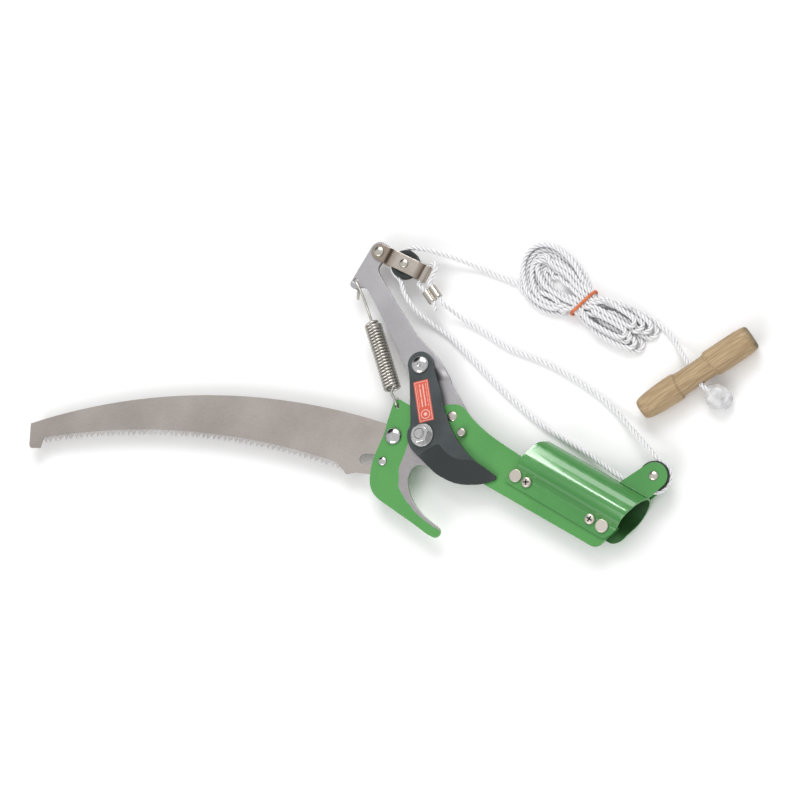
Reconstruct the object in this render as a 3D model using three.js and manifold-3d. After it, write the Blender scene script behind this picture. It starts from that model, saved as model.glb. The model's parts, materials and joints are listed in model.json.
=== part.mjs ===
// Tree-pruner head for a telescoping pole: a curved pull saw and a rope-worked bypass lopper on one
// stamped head plate, with its socket, pulleys, return spring, rope hank and wooden toggle handle.
// Millimetres, +Z up. The head lies flat: +X runs along the socket and points out of its open end.
// Origin: centre of the head's footprint, on the surface that the head lies on.

import * as THREE from 'three';
import { mergeVertices } from 'three/addons/utils/BufferGeometryUtils.js';
import Module from 'manifold-3d';

const wasm = await Module();
wasm.setup();

// ---------------------------------------------------------------- driving dimensions

const SOCKET_RADIUS = 15.5;          // outside of the socket's round barrel
const SOCKET_SHEET = 1.5;
const SOCKET_AXIS_Y = 30;            // barrel axis, beside the pivot
const SOCKET_SLANT = 0.3;            // both ends are cut on a slant: x per y
const SOCKET_START = 77;
const SOCKET_END = 171;              // front edge of the mouth, where y is 0
const SOCKET_MOUTH_Y = 45;
const SOCKET_MOUTH = SOCKET_END + SOCKET_SLANT * SOCKET_MOUTH_Y;   // square end of the back half
const SOCKET_CORNER = 10;            // rounding of the back half at the mouth

const GAP = 0.3;                     // clearance between touching pieces
const PLATE = 3;                     // head plate, lever and cutting blade thickness
const SAW = 1.4;                     // saw blade thickness
const FRONT = PLATE / 2;             // front face of the head plate
const BACK = -PLATE / 2;
const BLADE_Z = FRONT + 1.3;         // back face of the cutting blade, clear of the rivet's head
const BLADE_TOP = BLADE_Z + PLATE;
const SAW_TOP = BACK - GAP;
const LEVER_BACK = BACK - GAP - PLATE;   // lowest face of the lever behind the plate
const FLANGE_TOP = FRONT + GAP + SOCKET_SHEET;

const ROPE = 4;                      // rope diameter
const PULLEY_RADIUS = 11.9;
const PULLEY_ROOT = 8.8;             // bottom of the groove
const PULLEY_WIDTH = 5.8;
const ROPE_TURN = 11.7;              // rope centre line round a pulley
const STRAP = 1.5;                   // pulley bracket and pulley ears

// Places in the head's plane, measured from the blade pivot.
const SAW_BOLT = [-23.3, -12.4];
const SAW_PIN = [-20.4, -34];
const PLATE_RIVET = [11.9, 24.8];    // low enough for the blade's heel to pass over it
const STOP_PIN = [27.1, 17.5];       // tall: the shut blade's back rests against it
const SOCKET_RIVETS = [[84.1, 9.6], [164.1, 9.8]];
const CLAMP_SCREWS = [[94.6, 9.5], [153.3, 9.7]];
const BLADE_BOLT = [-32.6, 47.4];
const EAR_HOLE = [-33.7, 9.8];
const SPRING_HOLE = [-123.3, 81.2];
const ARM_RIVET = [-117.6, 111.3];
const BRACKET_TURN = 2.5;            // degrees, bracket against the socket's axis
const AXLE_REACH = 26.1;             // arm rivet to the upper pulley
const EYE_REACH = 44.9;              // arm rivet to the rope eye
const LOWER_PULLEY = [179.5, 61.8];

// The pivot's place on the surface under the head, which centres the footprint on the origin.
const PIVOT = [69.5, 28.64];
const FLOOR = -SOCKET_RADIUS;        // the surface, from the plate's middle plane

// ---------------------------------------------------------------- materials

const paint = (color, roughness) => new THREE.MeshStandardMaterial({ color, roughness, metalness: 0.1 });
const metal = (color, roughness) => new THREE.MeshStandardMaterial({ color, roughness, metalness: 1 });
const dull = (color) => new THREE.MeshStandardMaterial({ color, roughness: 0.7, metalness: 0 });

const green = paint(0x4f9a4e, 0.35);
const blackCoat = paint(0x3a4142, 0.5);
const steel = metal(0xaaa7a8, 0.42);
const plated = metal(0xb9b2a6, 0.3);
const chrome = metal(0xc9c9c6, 0.2);
const blackNylon = dull(0x222725);
const redLabel = dull(0xd0624f);
const whiteRope = dull(0xe8e6e4);
const knotted = dull(0xcfcccc);
const wood = dull(0xb2936a);
const rubber = dull(0xc4693f);

// ---------------------------------------------------------------- geometry helpers

const v2 = ([x, y]) => new THREE.Vector2(x, y);
const v3 = ([x, y, z]) => new THREE.Vector3(x, y, z);
const radians = THREE.MathUtils.degToRad;

/** Points of a round arc from angle a0 to a1 in degrees. */
function arc(cx, cy, r, a0, a1, steps) {
  const points = [];
  for (let i = 0; i <= steps; i++) {
    const a = radians(a0 + ((a1 - a0) * i) / steps);
    points.push([cx + r * Math.cos(a), cy + r * Math.sin(a)]);
  }
  return points;
}

/** Points of the arc from a to b that bows out to the left of the chord by the sagitta. */
function bow(a, b, sagitta, steps) {
  const [p, q] = [v2(a), v2(b)];
  const chord = q.clone().sub(p);
  const radius = chord.lengthSq() / (8 * sagitta) + sagitta / 2;
  const left = new THREE.Vector2(-chord.y, chord.x).normalize();
  const centre = p.clone().add(q).multiplyScalar(0.5).addScaledVector(left, sagitta - radius);
  const start = p.clone().sub(centre).angle();
  const sweep = -2 * Math.asin(chord.length() / (2 * radius));
  const points = [];
  for (let i = 0; i <= steps; i++) {
    const a = start + (sweep * i) / steps;
    points.push([centre.x + radius * Math.cos(a), centre.y + radius * Math.sin(a)]);
  }
  return points;
}

/** Points of a smooth curve through a few given points. */
function smooth(points, steps) {
  return new THREE.SplineCurve(points.map(v2)).getPoints(steps).map((p) => [p.x, p.y]);
}

const circle = ([x, y], r, sides = 16) => arc(x, y, r, 0, 360, sides).slice(0, -1);

/** A flat plate: an outline and its holes, from z0 to z1. */
function plate(outline, holes, z0, z1) {
  const shape = new THREE.Shape(outline.map(v2));
  shape.holes = holes.map((hole) => new THREE.Path(hole.map(v2)));
  const geometry = new THREE.ExtrudeGeometry(shape, { depth: z1 - z0, bevelEnabled: false });
  geometry.translate(0, 0, z0);
  return geometry;
}

/** The outline of a bent sheet: its middle line given, half its thickness on each side. */
function sheet(middle, thickness) {
  const points = middle.map(v2);
  const side = (sign) => points.map((p, i) => {
    const before = points[Math.max(i - 1, 0)];
    const after = points[Math.min(i + 1, points.length - 1)];
    const along = after.clone().sub(before).normalize();
    const half = (sign * thickness) / 2;
    return [p.x - along.y * half, p.y + along.x * half];
  });
  return [...side(1), ...side(-1).reverse()];
}

/** A turned piece about its own Z axis: [radius, z] points that start and end on the axis. */
const turned = (profile, sides = 16) => {
  const geometry = new THREE.LatheGeometry(profile.map(v2), sides);
  geometry.rotateX(Math.PI / 2);
  return geometry;
};

/** A plain tube along a smooth curve. */
function tube(points, diameter, steps, sides = 8) {
  const section = new THREE.Shape(circle([0, 0], diameter / 2, sides).map(v2));
  const extrudePath = new THREE.CatmullRomCurve3(points.map(v3), false, 'centripetal');
  return new THREE.ExtrudeGeometry(section, { steps, extrudePath, bevelEnabled: false });
}

function toSolid(geometry) {
  const plain = geometry.clone();
  plain.deleteAttribute('normal');
  plain.deleteAttribute('uv');
  const merged = mergeVertices(plain, 1e-4);
  return new wasm.Manifold(new wasm.Mesh({
    numProp: 3,
    vertProperties: new Float32Array(merged.attributes.position.array),
    triVerts: new Uint32Array(merged.index.array),
  }));
}

function toGeometry(solid) {
  const mesh = solid.getMesh();
  const geometry = new THREE.BufferGeometry();
  geometry.setAttribute('position', new THREE.BufferAttribute(mesh.vertProperties, 3));
  geometry.setIndex(new THREE.BufferAttribute(mesh.triVerts, 1));
  geometry.computeVertexNormals();
  return geometry;
}

const cut = (geometry, ...tools) =>
  toGeometry(tools.reduce((solid, tool) => solid.subtract(toSolid(tool)), toSolid(geometry)));
const keep = (geometry, within) => toGeometry(toSolid(geometry).intersect(toSolid(within)));
const join = (...pieces) => toGeometry(pieces.map(toSolid).reduce((a, b) => a.add(b)));

function mesh(name, geometry, material, [x, y] = [0, 0]) {
  const piece = new THREE.Mesh(geometry, material);
  piece.name = name;
  piece.position.set(x, y, 0);
  return piece;
}

/** A bolt, screw or rivet body standing on Z: a low dome over a shank, with or without a tail head. */
function domed({ head, height, shank, top, bottom, tail = 0, tailHeight = 0 }) {
  const profile = [[0, bottom - tailHeight]];
  if (tail > 0) {
    profile.push([tail * 0.65, bottom - tailHeight * 0.85], [tail, bottom], [shank, bottom]);
  } else {
    profile.push([shank, bottom]);
  }
  profile.push([shank, top], [head, top], [head * 0.92, top + height * 0.4]);
  profile.push([head * 0.6, top + height * 0.85], [0, top + height]);
  return turned(profile);
}

/** A hexagon nut with a clearance hole. */
function nut(acrossFlats, hole, z0, z1) {
  const corner = acrossFlats / Math.sqrt(3);
  return plate(circle([0, 0], corner, 6), [circle([0, 0], hole, 16)], z0, z1);
}

// ---------------------------------------------------------------- head plate and saw

/** The stamped plate: ear for the spring, hook of the lopper, and a tail inside the socket's flanges. */
function headPlate() {
  const inside = SOCKET_AXIS_Y - SOCKET_RADIUS + SOCKET_SHEET - GAP - 1;
  const endX = (y) => SOCKET_END + SOCKET_SLANT * y;
  const outline = [
    ...arc(EAR_HOLE[0] + 0.4, EAR_HOLE[1] + 0.9, 4.9, 185, 75, 6),
    [-25, 15.6],
    [0, 28.2],
    ...smooth([[6.5, 33], [12.5, 35.4], [19, 34.6], [28, 31.2], [44, 27.6], [61, 25.9], [78, 24.9]], 20),
    [SOCKET_START + 8, 23],
    [SOCKET_START + 11, inside],
    [endX(inside), inside],
    ...arc(endX(-1) - 7.6, -0.4, 6.9, -10, -90, 5),
    [62, -8.6],
    ...smooth([[42, -10.6], [27, -14.2], [16.7, -18.9], [10.6, -20.4], [6.2, -23.8], [4.7, -28.6],
      [5.7, -34.4], [9, -39.9], [15, -45.6], [24, -50.6], [35, -53.8], [48.5, -55.3]], 32),
    ...arc(48.2, -60, 4.6, 75, -80, 7),
    ...smooth([[43.6, -64.8], [27, -63.4], [8, -62.3], [-9.6, -60.9], [-19, -55.9], [-25, -46.6],
      [-29, -34.4], [-31.6, -15], [-34.4, -5.4]], 20),
  ];
  const holes = [
    circle([0, 0], 4.3),
    circle(SAW_BOLT, 3.3),
    circle(SAW_PIN, 2.5, 12),
    circle(EAR_HOLE, 2, 12),
    circle(PLATE_RIVET, 2.6, 12),
    circle(STOP_PIN, 2.6, 12),
    ...SOCKET_RIVETS.map((at) => circle(at, 2.6, 12)),
    ...CLAMP_SCREWS.map((at) => circle(at, 2.3, 12)),
  ];
  return plate(outline, holes, BACK, FRONT);
}

/** The curved saw: teeth in pairs along the inner arc, a blunt nose and a slotted tang. */
function sawBlade() {
  const toothArc = bow([-311.8, -168.7], [-51.8, -52.9], 16.2, 60);
  const line = new THREE.SplineCurve(toothArc.map(v2));
  const pair = 10;                   // one pair of teeth
  const depth = 4.6;
  const pairs = Math.floor(line.getLength() / pair);
  const teeth = [];
  for (let i = 0; i < pairs; i++) {
    for (const [foot, tip] of [[0.04, 0.22], [0.44, 0.66]]) {
      const at = (share) => line.getPointAt((i + share) / pairs);
      const along = line.getTangentAt((i + tip) / pairs);
      const root = at(foot);
      const point = at(tip);
      teeth.push([root.x, root.y], [point.x + along.y * depth, point.y - along.x * depth]);
    }
  }
  const outline = [
    [-309.4, -177.2],
    ...teeth,
    ...arc(-45, -55.6, 2.3, 215, 320, 4),
    [-38, -53],
    [-26, -48.2],
    [-15.2, -42.6],
    [-16.2, -12],
    ...arc(-20.6, -8.6, 3.6, 0, 100, 4),
    ...bow([-330.4, -164], [-37.9, -7.2], 24, 28).reverse(),
    ...arc(-317.4, -177.4, 4.2, 215, 270, 4),
  ];
  const slotAngle = 28.5;
  const slot = [
    ...arc(0, 0, 4, slotAngle + 90, slotAngle + 270, 6),
    ...arc(7.5 * Math.cos(radians(slotAngle)), 7.5 * Math.sin(radians(slotAngle)), 4,
      slotAngle - 90, slotAngle + 90, 6),
  ].map(([x, y]) => [x - 37, y - 40]);
  return plate(outline, [circle(SAW_BOLT, 3.3), circle(SAW_PIN, 2.5, 12), slot], SAW_TOP - SAW, SAW_TOP);
}

// ---------------------------------------------------------------- socket and its pulley

/** One sheet folded round the pole, its two flanges riveted to the head plate. */
function socketShell() {
  const r = SOCKET_RADIUS - SOCKET_SHEET / 2;
  const flange = FRONT + GAP + SOCKET_SHEET / 2;
  const half = [[1.6, flange], [15.2, flange], ...arc(SOCKET_AXIS_Y, 0, r, 158, 0, 11)];
  const middle = [...half, ...half.slice(0, -1).reverse().map(([y, z]) => [y, -z])];
  const section = sheet(middle, SOCKET_SHEET);
  const blank = plate(section, [], SOCKET_START - 2, SOCKET_END + 20);
  blank.applyMatrix4(new THREE.Matrix4().set(0, 0, 1, 0, 1, 0, 0, 0, 0, 1, 0, 0, 0, 0, 0, 1));
  const slant = (x, y) => [x + SOCKET_SLANT * y, y];
  const top = SOCKET_AXIS_Y + SOCKET_RADIUS + 1;
  const start = [slant(SOCKET_START + 4, top), slant(SOCKET_START, top - 6), slant(SOCKET_START, 0)];
  // The front half ends on the slant; the back half ends square, with a rounded corner.
  const front = [...start, slant(SOCKET_END - 8, 0), slant(SOCKET_END - 1, 4), slant(SOCKET_END, 8),
    slant(SOCKET_END, SOCKET_MOUTH_Y), [SOCKET_MOUTH, top]];
  const inset = SOCKET_MOUTH - SOCKET_CORNER;
  const back = [...start, [inset - 0.5, 0], ...arc(inset, SOCKET_CORNER + 1, SOCKET_CORNER, -80, 0, 6),
    [SOCKET_MOUTH, top]];
  const trim = join(plate(front, [], 0, 20), plate(back, [], -20, 0));
  const holes = [...SOCKET_RIVETS.map((at) => circle(at, 2.6, 12)),
    ...CLAMP_SCREWS.map((at) => circle(at, 2.3, 12))];
  return cut(keep(blank, trim), ...holes.map((hole) => plate(hole, [], -8, 8)));
}

/** One of the two ears that stand on the barrel and carry the lower pulley. */
function pulleyEar(side) {
  const [x, y] = LOWER_PULLEY;
  const foot = SOCKET_AXIS_Y + SOCKET_RADIUS + GAP;
  const outline = [[158.6, foot], [184.4, foot], ...arc(x, y, 10.5, -15, 150, 12)];
  const inner = PULLEY_WIDTH / 2 + GAP;
  const [z0, z1] = side > 0 ? [inner, inner + STRAP] : [-inner - STRAP, -inner];
  return plate(outline, [circle(LOWER_PULLEY, 2.8, 16)], z0, z1);
}

/** A grooved rope pulley. */
function pulley() {
  const w = PULLEY_WIDTH / 2;
  const rim = w - 0.4;
  const floor = 1.6;                 // half the width of the groove's floor
  const bore = 2.8;
  return turned([[bore, -w], [PULLEY_RADIUS, -w], [PULLEY_RADIUS, -rim], [PULLEY_ROOT, -floor],
    [PULLEY_ROOT, floor], [PULLEY_RADIUS, rim], [PULLEY_RADIUS, w], [bore, w], [bore, -w]], 24);
}

/** The rivet that a pulley turns on, headed over both straps. */
function pulleyAxle(head) {
  const face = PULLEY_WIDTH / 2 + GAP + STRAP + GAP;
  return domed({ head, height: 1.5, shank: 2.4, top: face, bottom: -face, tail: head, tailHeight: 1.3 });
}

// ---------------------------------------------------------------- lever, blade and spring

const JOGGLE = [47, 50.6];           // start and end of the bend, out from the pivot
const joggleDirection = v2(BLADE_BOLT).normalize();

/** The lever: flush with the plate at the top, bent back to pass behind it at the pivot. */
function leverArm() {
  const outline = [
    ...arc(ARM_RIVET[0], ARM_RIVET[1], 8.8, 20, 175, 8),
    ...arc(SPRING_HOLE[0] + 0.3, SPRING_HOLE[1] - 2.6, 3.7, 180, 290, 4),
    ...smooth([[-120, 75.2], [-116, 78.6], [-112, 80.2], [-108.6, 79.2]], 6),
    [-85.7, 65.9], [-57, 48.6], [-50.7, 43.6], [-38.5, 36.6], [-21, 16],
    ...arc(0, 0, 12.5, 150, 340, 10),
    [19, 26],
    [19, 34.2],
    ...smooth([[7.9, 40.4], [-2.1, 45.2], [-8.7, 50.8], [-20, 57.6], [-34.3, 62.6], [-41.5, 64.4],
      [-50.8, 67]], 12),
    [-84.9, 83.4],
    ...smooth([[-106, 94.4], [-110, 97.4], [-111.4, 101], [-111, 105]], 6),
  ];
  const tall = plate(outline, [
    circle([0, 0], 4.3), circle(BLADE_BOLT, 3.3, 16),
    circle(SPRING_HOLE, 2, 14), circle(ARM_RIVET, 2.7, 16),
  ], LEVER_BACK - 1, FRONT + 1);
  // Side view of the bent sheet, swept across the whole lever.
  const low = LEVER_BACK + PLATE / 2;
  const middle = [[-30, low], [JOGGLE[0], low], [JOGGLE[1], 0], [180, 0]];
  const bent = plate(sheet(middle, PLATE), [], -90, 90);
  const out = v3([joggleDirection.x, joggleDirection.y, 0]);
  const up = v3([0, 0, 1]);
  bent.applyMatrix4(new THREE.Matrix4().makeBasis(out, up, out.clone().cross(up)));
  return keep(tall, bent);
}

/** The black cutting blade: bolted lobe, waist round the pivot and a curved edge. */
function cuttingBlade() {
  const outline = [
    ...arc(BLADE_BOLT[0] - 0.6, BLADE_BOLT[1] + 0.4, 10.5, 38, 200, 10),
    ...smooth([[-42, 42], [-38.6, 38.4], [-33.6, 32], [-22.8, 16], [-14, 2.6], [-13, -3.4], [-9.2, -9.2],
      [-3.4, -13.4], [5.2, -16]], 20),
    ...smooth([[13, -17.9], [23.4, -20.3], [31.6, -20.7], [41.4, -19.8], [49.5, -17.2], [56.9, -13.4],
      [63.8, -8.8], [71.4, -0.6]], 18),
    [70.4, 1.6],
    ...smooth([[56.1, 3.1], [46.9, 4], [33.3, 8.3], [19.2, 15.2], [2.6, 28.2], [-7.8, 38.4],
      [-17.6, 47.2]], 14),
  ];
  return plate(outline, [circle([0, 0], 4.3), circle(BLADE_BOLT, 3.3, 16)], BLADE_Z, BLADE_TOP);
}

/** The sticker on the blade, a plain field. */
function bladeLabel() {
  const geometry = new THREE.BoxGeometry(34, 12.6, 0.3);
  geometry.rotateZ(radians(-48.6));
  geometry.translate(-14.1, 23.9, BLADE_TOP + GAP + 0.15);
  return geometry;
}

const SPRING_RADIUS = 7.1;
const SPRING_WIRE = 1.8;
const COIL_TOP = [-91.2, 57.7];
const COIL_FOOT = [-44.9, 19.2];

/** The close-wound coil as a sleeve, with its lower hook through the plate's ear. */
function springCoil() {
  const axis = v2(COIL_TOP).sub(v2(COIL_FOOT));
  const inner = SPRING_RADIUS - SPRING_WIRE;
  const sleeve = turned([[inner, 0], [SPRING_RADIUS, 0], [SPRING_RADIUS, axis.length()],
    [inner, axis.length()], [inner, 0]], 20);
  sleeve.rotateY(Math.PI / 2);
  sleeve.rotateZ(axis.angle());
  sleeve.translate(COIL_FOOT[0], COIL_FOOT[1], 0);
  const [x, y] = EAR_HOLE;
  const hook = tube([[-50.4, 23.6, 6.2], [-47.4, 20.4, 6.2], [-42.6, 16.6, 5.4], [-37.6, 13.4, 4.2],
    [x - 0.6, y + 0.6, 3], [x, y, 0], [x - 0.6, y + 0.6, -3.2], [x - 4.6, y + 4, -3.6]], SPRING_WIRE, 16, 6);
  return join(sleeve, hook);
}

/** The long upper hook: straight from the coil, through the lever's ear and back. */
function springHook() {
  const [x, y] = SPRING_HOLE;
  return tube([[-92.8, 59.1, 0], [-103, 67.4, 1.4], [-112, 74.6, 3.2], [x + 1, y - 0.2, 3.2], [x, y, 0],
    [x + 0.8, y - 0.6, -3.2], [x + 5, y - 6, -3.2], [x + 12.6, y - 13.4, -2.6]], SPRING_WIRE, 18, 6);
}

// ---------------------------------------------------------------- pulley bracket

/** A plated strap folded to an eye, straddling the lever and the upper pulley. */
function pulleyBracket() {
  const half = STRAP / 2;
  const narrow = FRONT + GAP + half;
  const wide = PULLEY_WIDTH / 2 + GAP + half;
  const eye = 2.5 + half;
  const leg = [[-7, narrow], [9, narrow], [12, wide], [38.3, wide], [41.2, 0.35 + half],
    ...arc(EYE_REACH, 0, eye, 146, 0, 7)];
  const middle = [...leg, ...leg.slice(0, -1).reverse().map(([u, z]) => [u, -z])];
  const strap = plate(sheet(middle, STRAP), [], -6.7, 6.7);
  strap.rotateX(Math.PI / 2);
  const plan = plate([...arc(0, 0, 6.7, 90, 270, 10), [60, -6.7], [60, 6.7]],
    [circle([0, 0], 2.7, 16), circle([AXLE_REACH, 0], 2.8, 16)], -12, 12);
  return keep(strap, plan);
}

/** The folded clamp that closes the rope's loop: two lobes side by side. */
function ropeClip() {
  const lobe = CLIP_LOBE;
  const bore = ROPE / 2 + 0.6;
  const outline = [...arc(lobe, 0, 3.6, -120, 120, 8), ...arc(-lobe, 0, 3.6, 60, 300, 8)];
  const geometry = plate(outline, [circle([lobe, 0], bore, 12), circle([-lobe, 0], bore, 12)], -5.5, 5.5);
  geometry.rotateX(Math.PI / 2);
  geometry.rotateZ(Math.PI / 2);
  return geometry;
}

// ---------------------------------------------------------------- rope

const CLIP = [-58.2, 101.6, -1.5];
const CLIP_TURN = -24;               // degrees, the clip's length against X
const CLIP_LOBE = 3;                 // each lobe's axis, off the clip's middle
const ROPE_Z = FLOOR + ROPE / 2 + 0.8;
const HANK_TOP = FLOOR + 8.8;

/** Points on the turn of a rope round a pulley. */
const turn = ([x, y], a0, a1, z = 0) => arc(x, y, ROPE_TURN, a0, a1, 6).map(([px, py]) => [px, py, z]);

const upperPulley = [
  ARM_RIVET[0] + AXLE_REACH * Math.cos(radians(BRACKET_TURN)),
  ARM_RIVET[1] + AXLE_REACH * Math.sin(radians(BRACKET_TURN)),
];

/** A point on the clip: along its length, and across to one of its two lobes. */
function clipPoint(along, across) {
  const p = new THREE.Vector2(along, across).rotateAround(new THREE.Vector2(), radians(CLIP_TURN));
  return [CLIP[0] + p.x, CLIP[1] + p.y, CLIP[2]];
}

const TOGGLE_END = [142, 100.4];
const TOGGLE_TURN = 62.5;            // degrees, the toggle's length against X
const TOGGLE_HOLE = 49.5;            // from the toggle's end
const TOGGLE_Z = FLOOR + 11.1;

/** A point on the axis of the toggle's rope hole, out to the side that the hank lies on. */
function togglePoint(out) {
  const p = new THREE.Vector2(TOGGLE_HOLE, out).rotateAround(new THREE.Vector2(), radians(TOGGLE_TURN));
  return [TOGGLE_END[0] + p.x, TOGGLE_END[1] + p.y, TOGGLE_Z];
}

const routes = {
  rope_loop: [[-49.6, 91.2, -3], clipPoint(7.4, -CLIP_LOBE), clipPoint(0, -CLIP_LOBE),
    clipPoint(-8, -CLIP_LOBE), [-72.4, 103.8, -0.6], [-72.8, 108, 0], [-72.7, 113.2, 0],
    [-72.9, 119.6, 0], [-71, 124, 0], [-67, 121.6, -0.2], [-66.4, 113.6, -1],
    clipPoint(-8, CLIP_LOBE), clipPoint(0, CLIP_LOBE), clipPoint(6.6, CLIP_LOBE)],
  rope_haul: [clipPoint(7.6, CLIP_LOBE), clipPoint(12, CLIP_LOBE),
    [-37, 98.2, -7], [-26, 96.7, -11.2], [-16, 96.2, -12.9],
    [-6, 95.6, ROPE_Z], [17.5, 94.1, ROPE_Z], [51.2, 97.8, ROPE_Z], [76, 98, ROPE_Z],
    [105, 95.2, ROPE_Z], [117, 92.8, -12.9], [128, 89.8, -11.4], [146, 84, -7],
    [163, 78.6, -2.6], [175.4, 74.3, 0]],
  rope_turn_lower: [...turn(LOWER_PULLEY, 82, -88)],
  rope_return: [[178.4, 50, 0], [158.2, 48.9, -0.6], [148, 49.4, -2.6], [136, 50.8, -6.4],
    [119.6, 52.2, -11.2], [108, 52.5, -12.9], [96, 52.9, ROPE_Z], [76.9, 53.8, ROPE_Z],
    [38.2, 60.9, ROPE_Z], [5, 69.7, ROPE_Z], [-28.7, 78.7, -12.3], [-40, 80.4, -11.7],
    [-52, 81.8, -11.4], [-68, 84.8, -7.4], [-82, 92.4, -2.6], [-89, 99.4, -0.4]],
  rope_turn_upper: [...turn(upperPulley, 262, 140)],
  rope_lead: [[-99.6, 121.6, 0], [-94.4, 127, 0], [-85.6, 130.6, -1], [-68, 135, -5], [-46.9, 138.5, -10],
    [-34, 139.8, -12.7], [-24, 140.6, ROPE_Z], [1.6, 143, ROPE_Z]],
  rope_tail: [[118.6, 164.4, ROPE_Z], [128.3, 163.2, ROPE_Z], [139, 158.4, -11.8],
    [148.6, 153.2, -6.4], togglePoint(10), togglePoint(0), togglePoint(-10), [177.6, 138.8, -5.4]],
};
const routeSteps = {
  rope_loop: 16, rope_haul: 22, rope_turn_lower: 7, rope_return: 24, rope_turn_upper: 5, rope_lead: 10,
  rope_tail: 7,
};

/** The bundle of rope as it lies, notched below where the band goes round it. */
function ropeHank() {
  const outline = smooth([[58.9, 164], [48.5, 170.4], [27, 182.4], [8, 183.4], [-6, 174], [-9.6, 160.6],
    [-1.2, 147.2], [16.2, 134.6], [32, 133], [53.4, 143.4], [66.6, 139.6], [83.3, 134], [106, 134.4],
    [116.8, 139.6], [115, 146.6], [107, 150], [114, 151.4], [120.4, 158], [113, 165], [87, 166.2],
    [58.9, 164]], 56).slice(0, -1);
  const notch = new THREE.BoxGeometry(5, 40, 3);
  notch.rotateZ(radians(BAND_TURN));
  notch.translate(BAND[0], BAND[1], FLOOR + 0.2);
  return cut(plate(outline, [], FLOOR + 0.2, HANK_TOP), notch);
}

const BAND = [56, 153.4];
const BAND_TURN = -16;               // degrees, the band's length against Y
const BAND_INSIDE = 12;            // half the width of the bundle at the band

/** The rubber band as a flat oval loop round the bundle's waist. */
function hankBand() {
  const thick = 1;
  const loop = (grow) => {
    const r = 0.6 + grow;
    const x = BAND_INSIDE + grow - r;
    const low = FLOOR + 0.2 + thick - grow + r;
    const high = HANK_TOP + GAP + grow - r;
    return [...arc(x, high, r, 0, 90, 3), ...arc(-x, high, r, 90, 180, 3), ...arc(-x, low, r, 180, 270, 3),
      ...arc(x, low, r, 270, 360, 3)];
  };
  const ring = plate(loop(thick), [loop(0)], -1.6, 1.6);
  ring.rotateX(Math.PI / 2);
  ring.rotateZ(radians(90 + BAND_TURN));
  ring.translate(BAND[0], BAND[1], 0);
  return ring;
}

/** The turned toggle: waisted in the middle, where the rope goes through. */
function toggleHandle() {
  const wooden = turned([[0, 0], [7.6, 0], [9.4, 2], [10.2, 10], [10.5, 33], [9.2, 36.5], [9.2, 62.5],
    [10.8, 65.5], [10.9, 90], [10.4, 98], [9, 101], [0, 101]], 24);
  const hole = new THREE.CylinderGeometry(2.8, 2.8, 40, 14);
  hole.translate(0, 0, TOGGLE_HOLE);
  return cut(wooden, hole);
}

function ropeKnot() {
  const geometry = new THREE.SphereGeometry(1, 16, 10);
  geometry.rotateX(Math.PI / 2);
  geometry.scale(10.2, 9.6, 7);
  return geometry;
}

// ---------------------------------------------------------------- assembly

const head = new THREE.Group();
head.position.set(PIVOT[0], PIVOT[1], -FLOOR);

head.add(mesh('head_plate', headPlate(), green));
head.add(mesh('saw_blade', sawBlade(), steel));
head.add(mesh('saw_bolt',
  domed({ head: 7, height: 3.2, shank: 3, top: FRONT + GAP, bottom: -10 }), chrome, SAW_BOLT));
head.add(mesh('saw_nut', nut(10, 3.3, -8.5, SAW_TOP - SAW - GAP), plated, SAW_BOLT));
head.add(mesh('saw_pin', domed({ head: 3.6, height: 1.6, shank: 2.2, top: FRONT + GAP,
  bottom: SAW_TOP - SAW - GAP, tail: 3.2, tailHeight: 1 }), chrome, SAW_PIN));

head.add(mesh('plate_rivet', turned([[0, BACK + 0.2], [2.3, BACK + 0.2], [2.3, FRONT + 0.1],
  [4.1, FRONT + 0.1], [3.9, FRONT + 0.6], [2.4, FRONT + 1], [0, FRONT + 1.1]]), plated, PLATE_RIVET));
head.add(mesh('stop_pin', turned([[0, BACK + 0.2], [2.3, BACK + 0.2], [2.3, FRONT + GAP],
  [3.7, FRONT + GAP], [3.7, BLADE_TOP - 0.2], [3.1, BLADE_TOP + 0.4], [0, BLADE_TOP + 0.6]]),
plated, STOP_PIN));

head.add(mesh('socket_shell', socketShell(), green));
SOCKET_RIVETS.forEach((at, i) => {
  const face = FLANGE_TOP + GAP;
  const rivet = turned([[0, -face - 1.5], [4.6, -face - 1.4], [5, -face - 1], [5, -face], [2.3, -face],
    [2.3, face], [5, face], [5, face + 1], [4.6, face + 1.5], [0, face + 1.6]]);
  head.add(mesh(`socket_rivet_${i + 1}`, rivet, plated, at));
});
CLAMP_SCREWS.forEach((at, i) => {
  const face = FLANGE_TOP + GAP;
  const screw = domed({ head: 4.3, height: 2.6, shank: 2, top: face, bottom: -8.4 });
  head.add(mesh(`clamp_screw_${i + 1}`, screw, plated, at));
  head.add(mesh(`clamp_nut_${i + 1}`, nut(7, 2.3, -6.8, -face), plated, at));
});

head.add(mesh('pulley_ear_front', pulleyEar(1), green));
head.add(mesh('pulley_ear_back', pulleyEar(-1), green));
head.add(mesh('lower_pulley', pulley(), blackNylon, LOWER_PULLEY));
head.add(mesh('lower_pulley_axle', pulleyAxle(3.7), plated, LOWER_PULLEY));

const pivotBolt = join(
  plate(circle([0, 0], 7.5, 6), [], LEVER_BACK - GAP - 5, LEVER_BACK - GAP),
  plate(circle([0, 0], 4), [], LEVER_BACK - GAP - 1, 15.2),
);
head.add(mesh('pivot_bolt', pivotBolt, chrome));
head.add(mesh('pivot_washer',
  plate(circle([0, 0], 9.2, 24), [circle([0, 0], 4.3)], BLADE_TOP + GAP, BLADE_TOP + GAP + 1.6), chrome));
head.add(mesh('pivot_nut', nut(13, 4.3, BLADE_TOP + GAP + 1.6 + GAP, 13.8), chrome));

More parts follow.
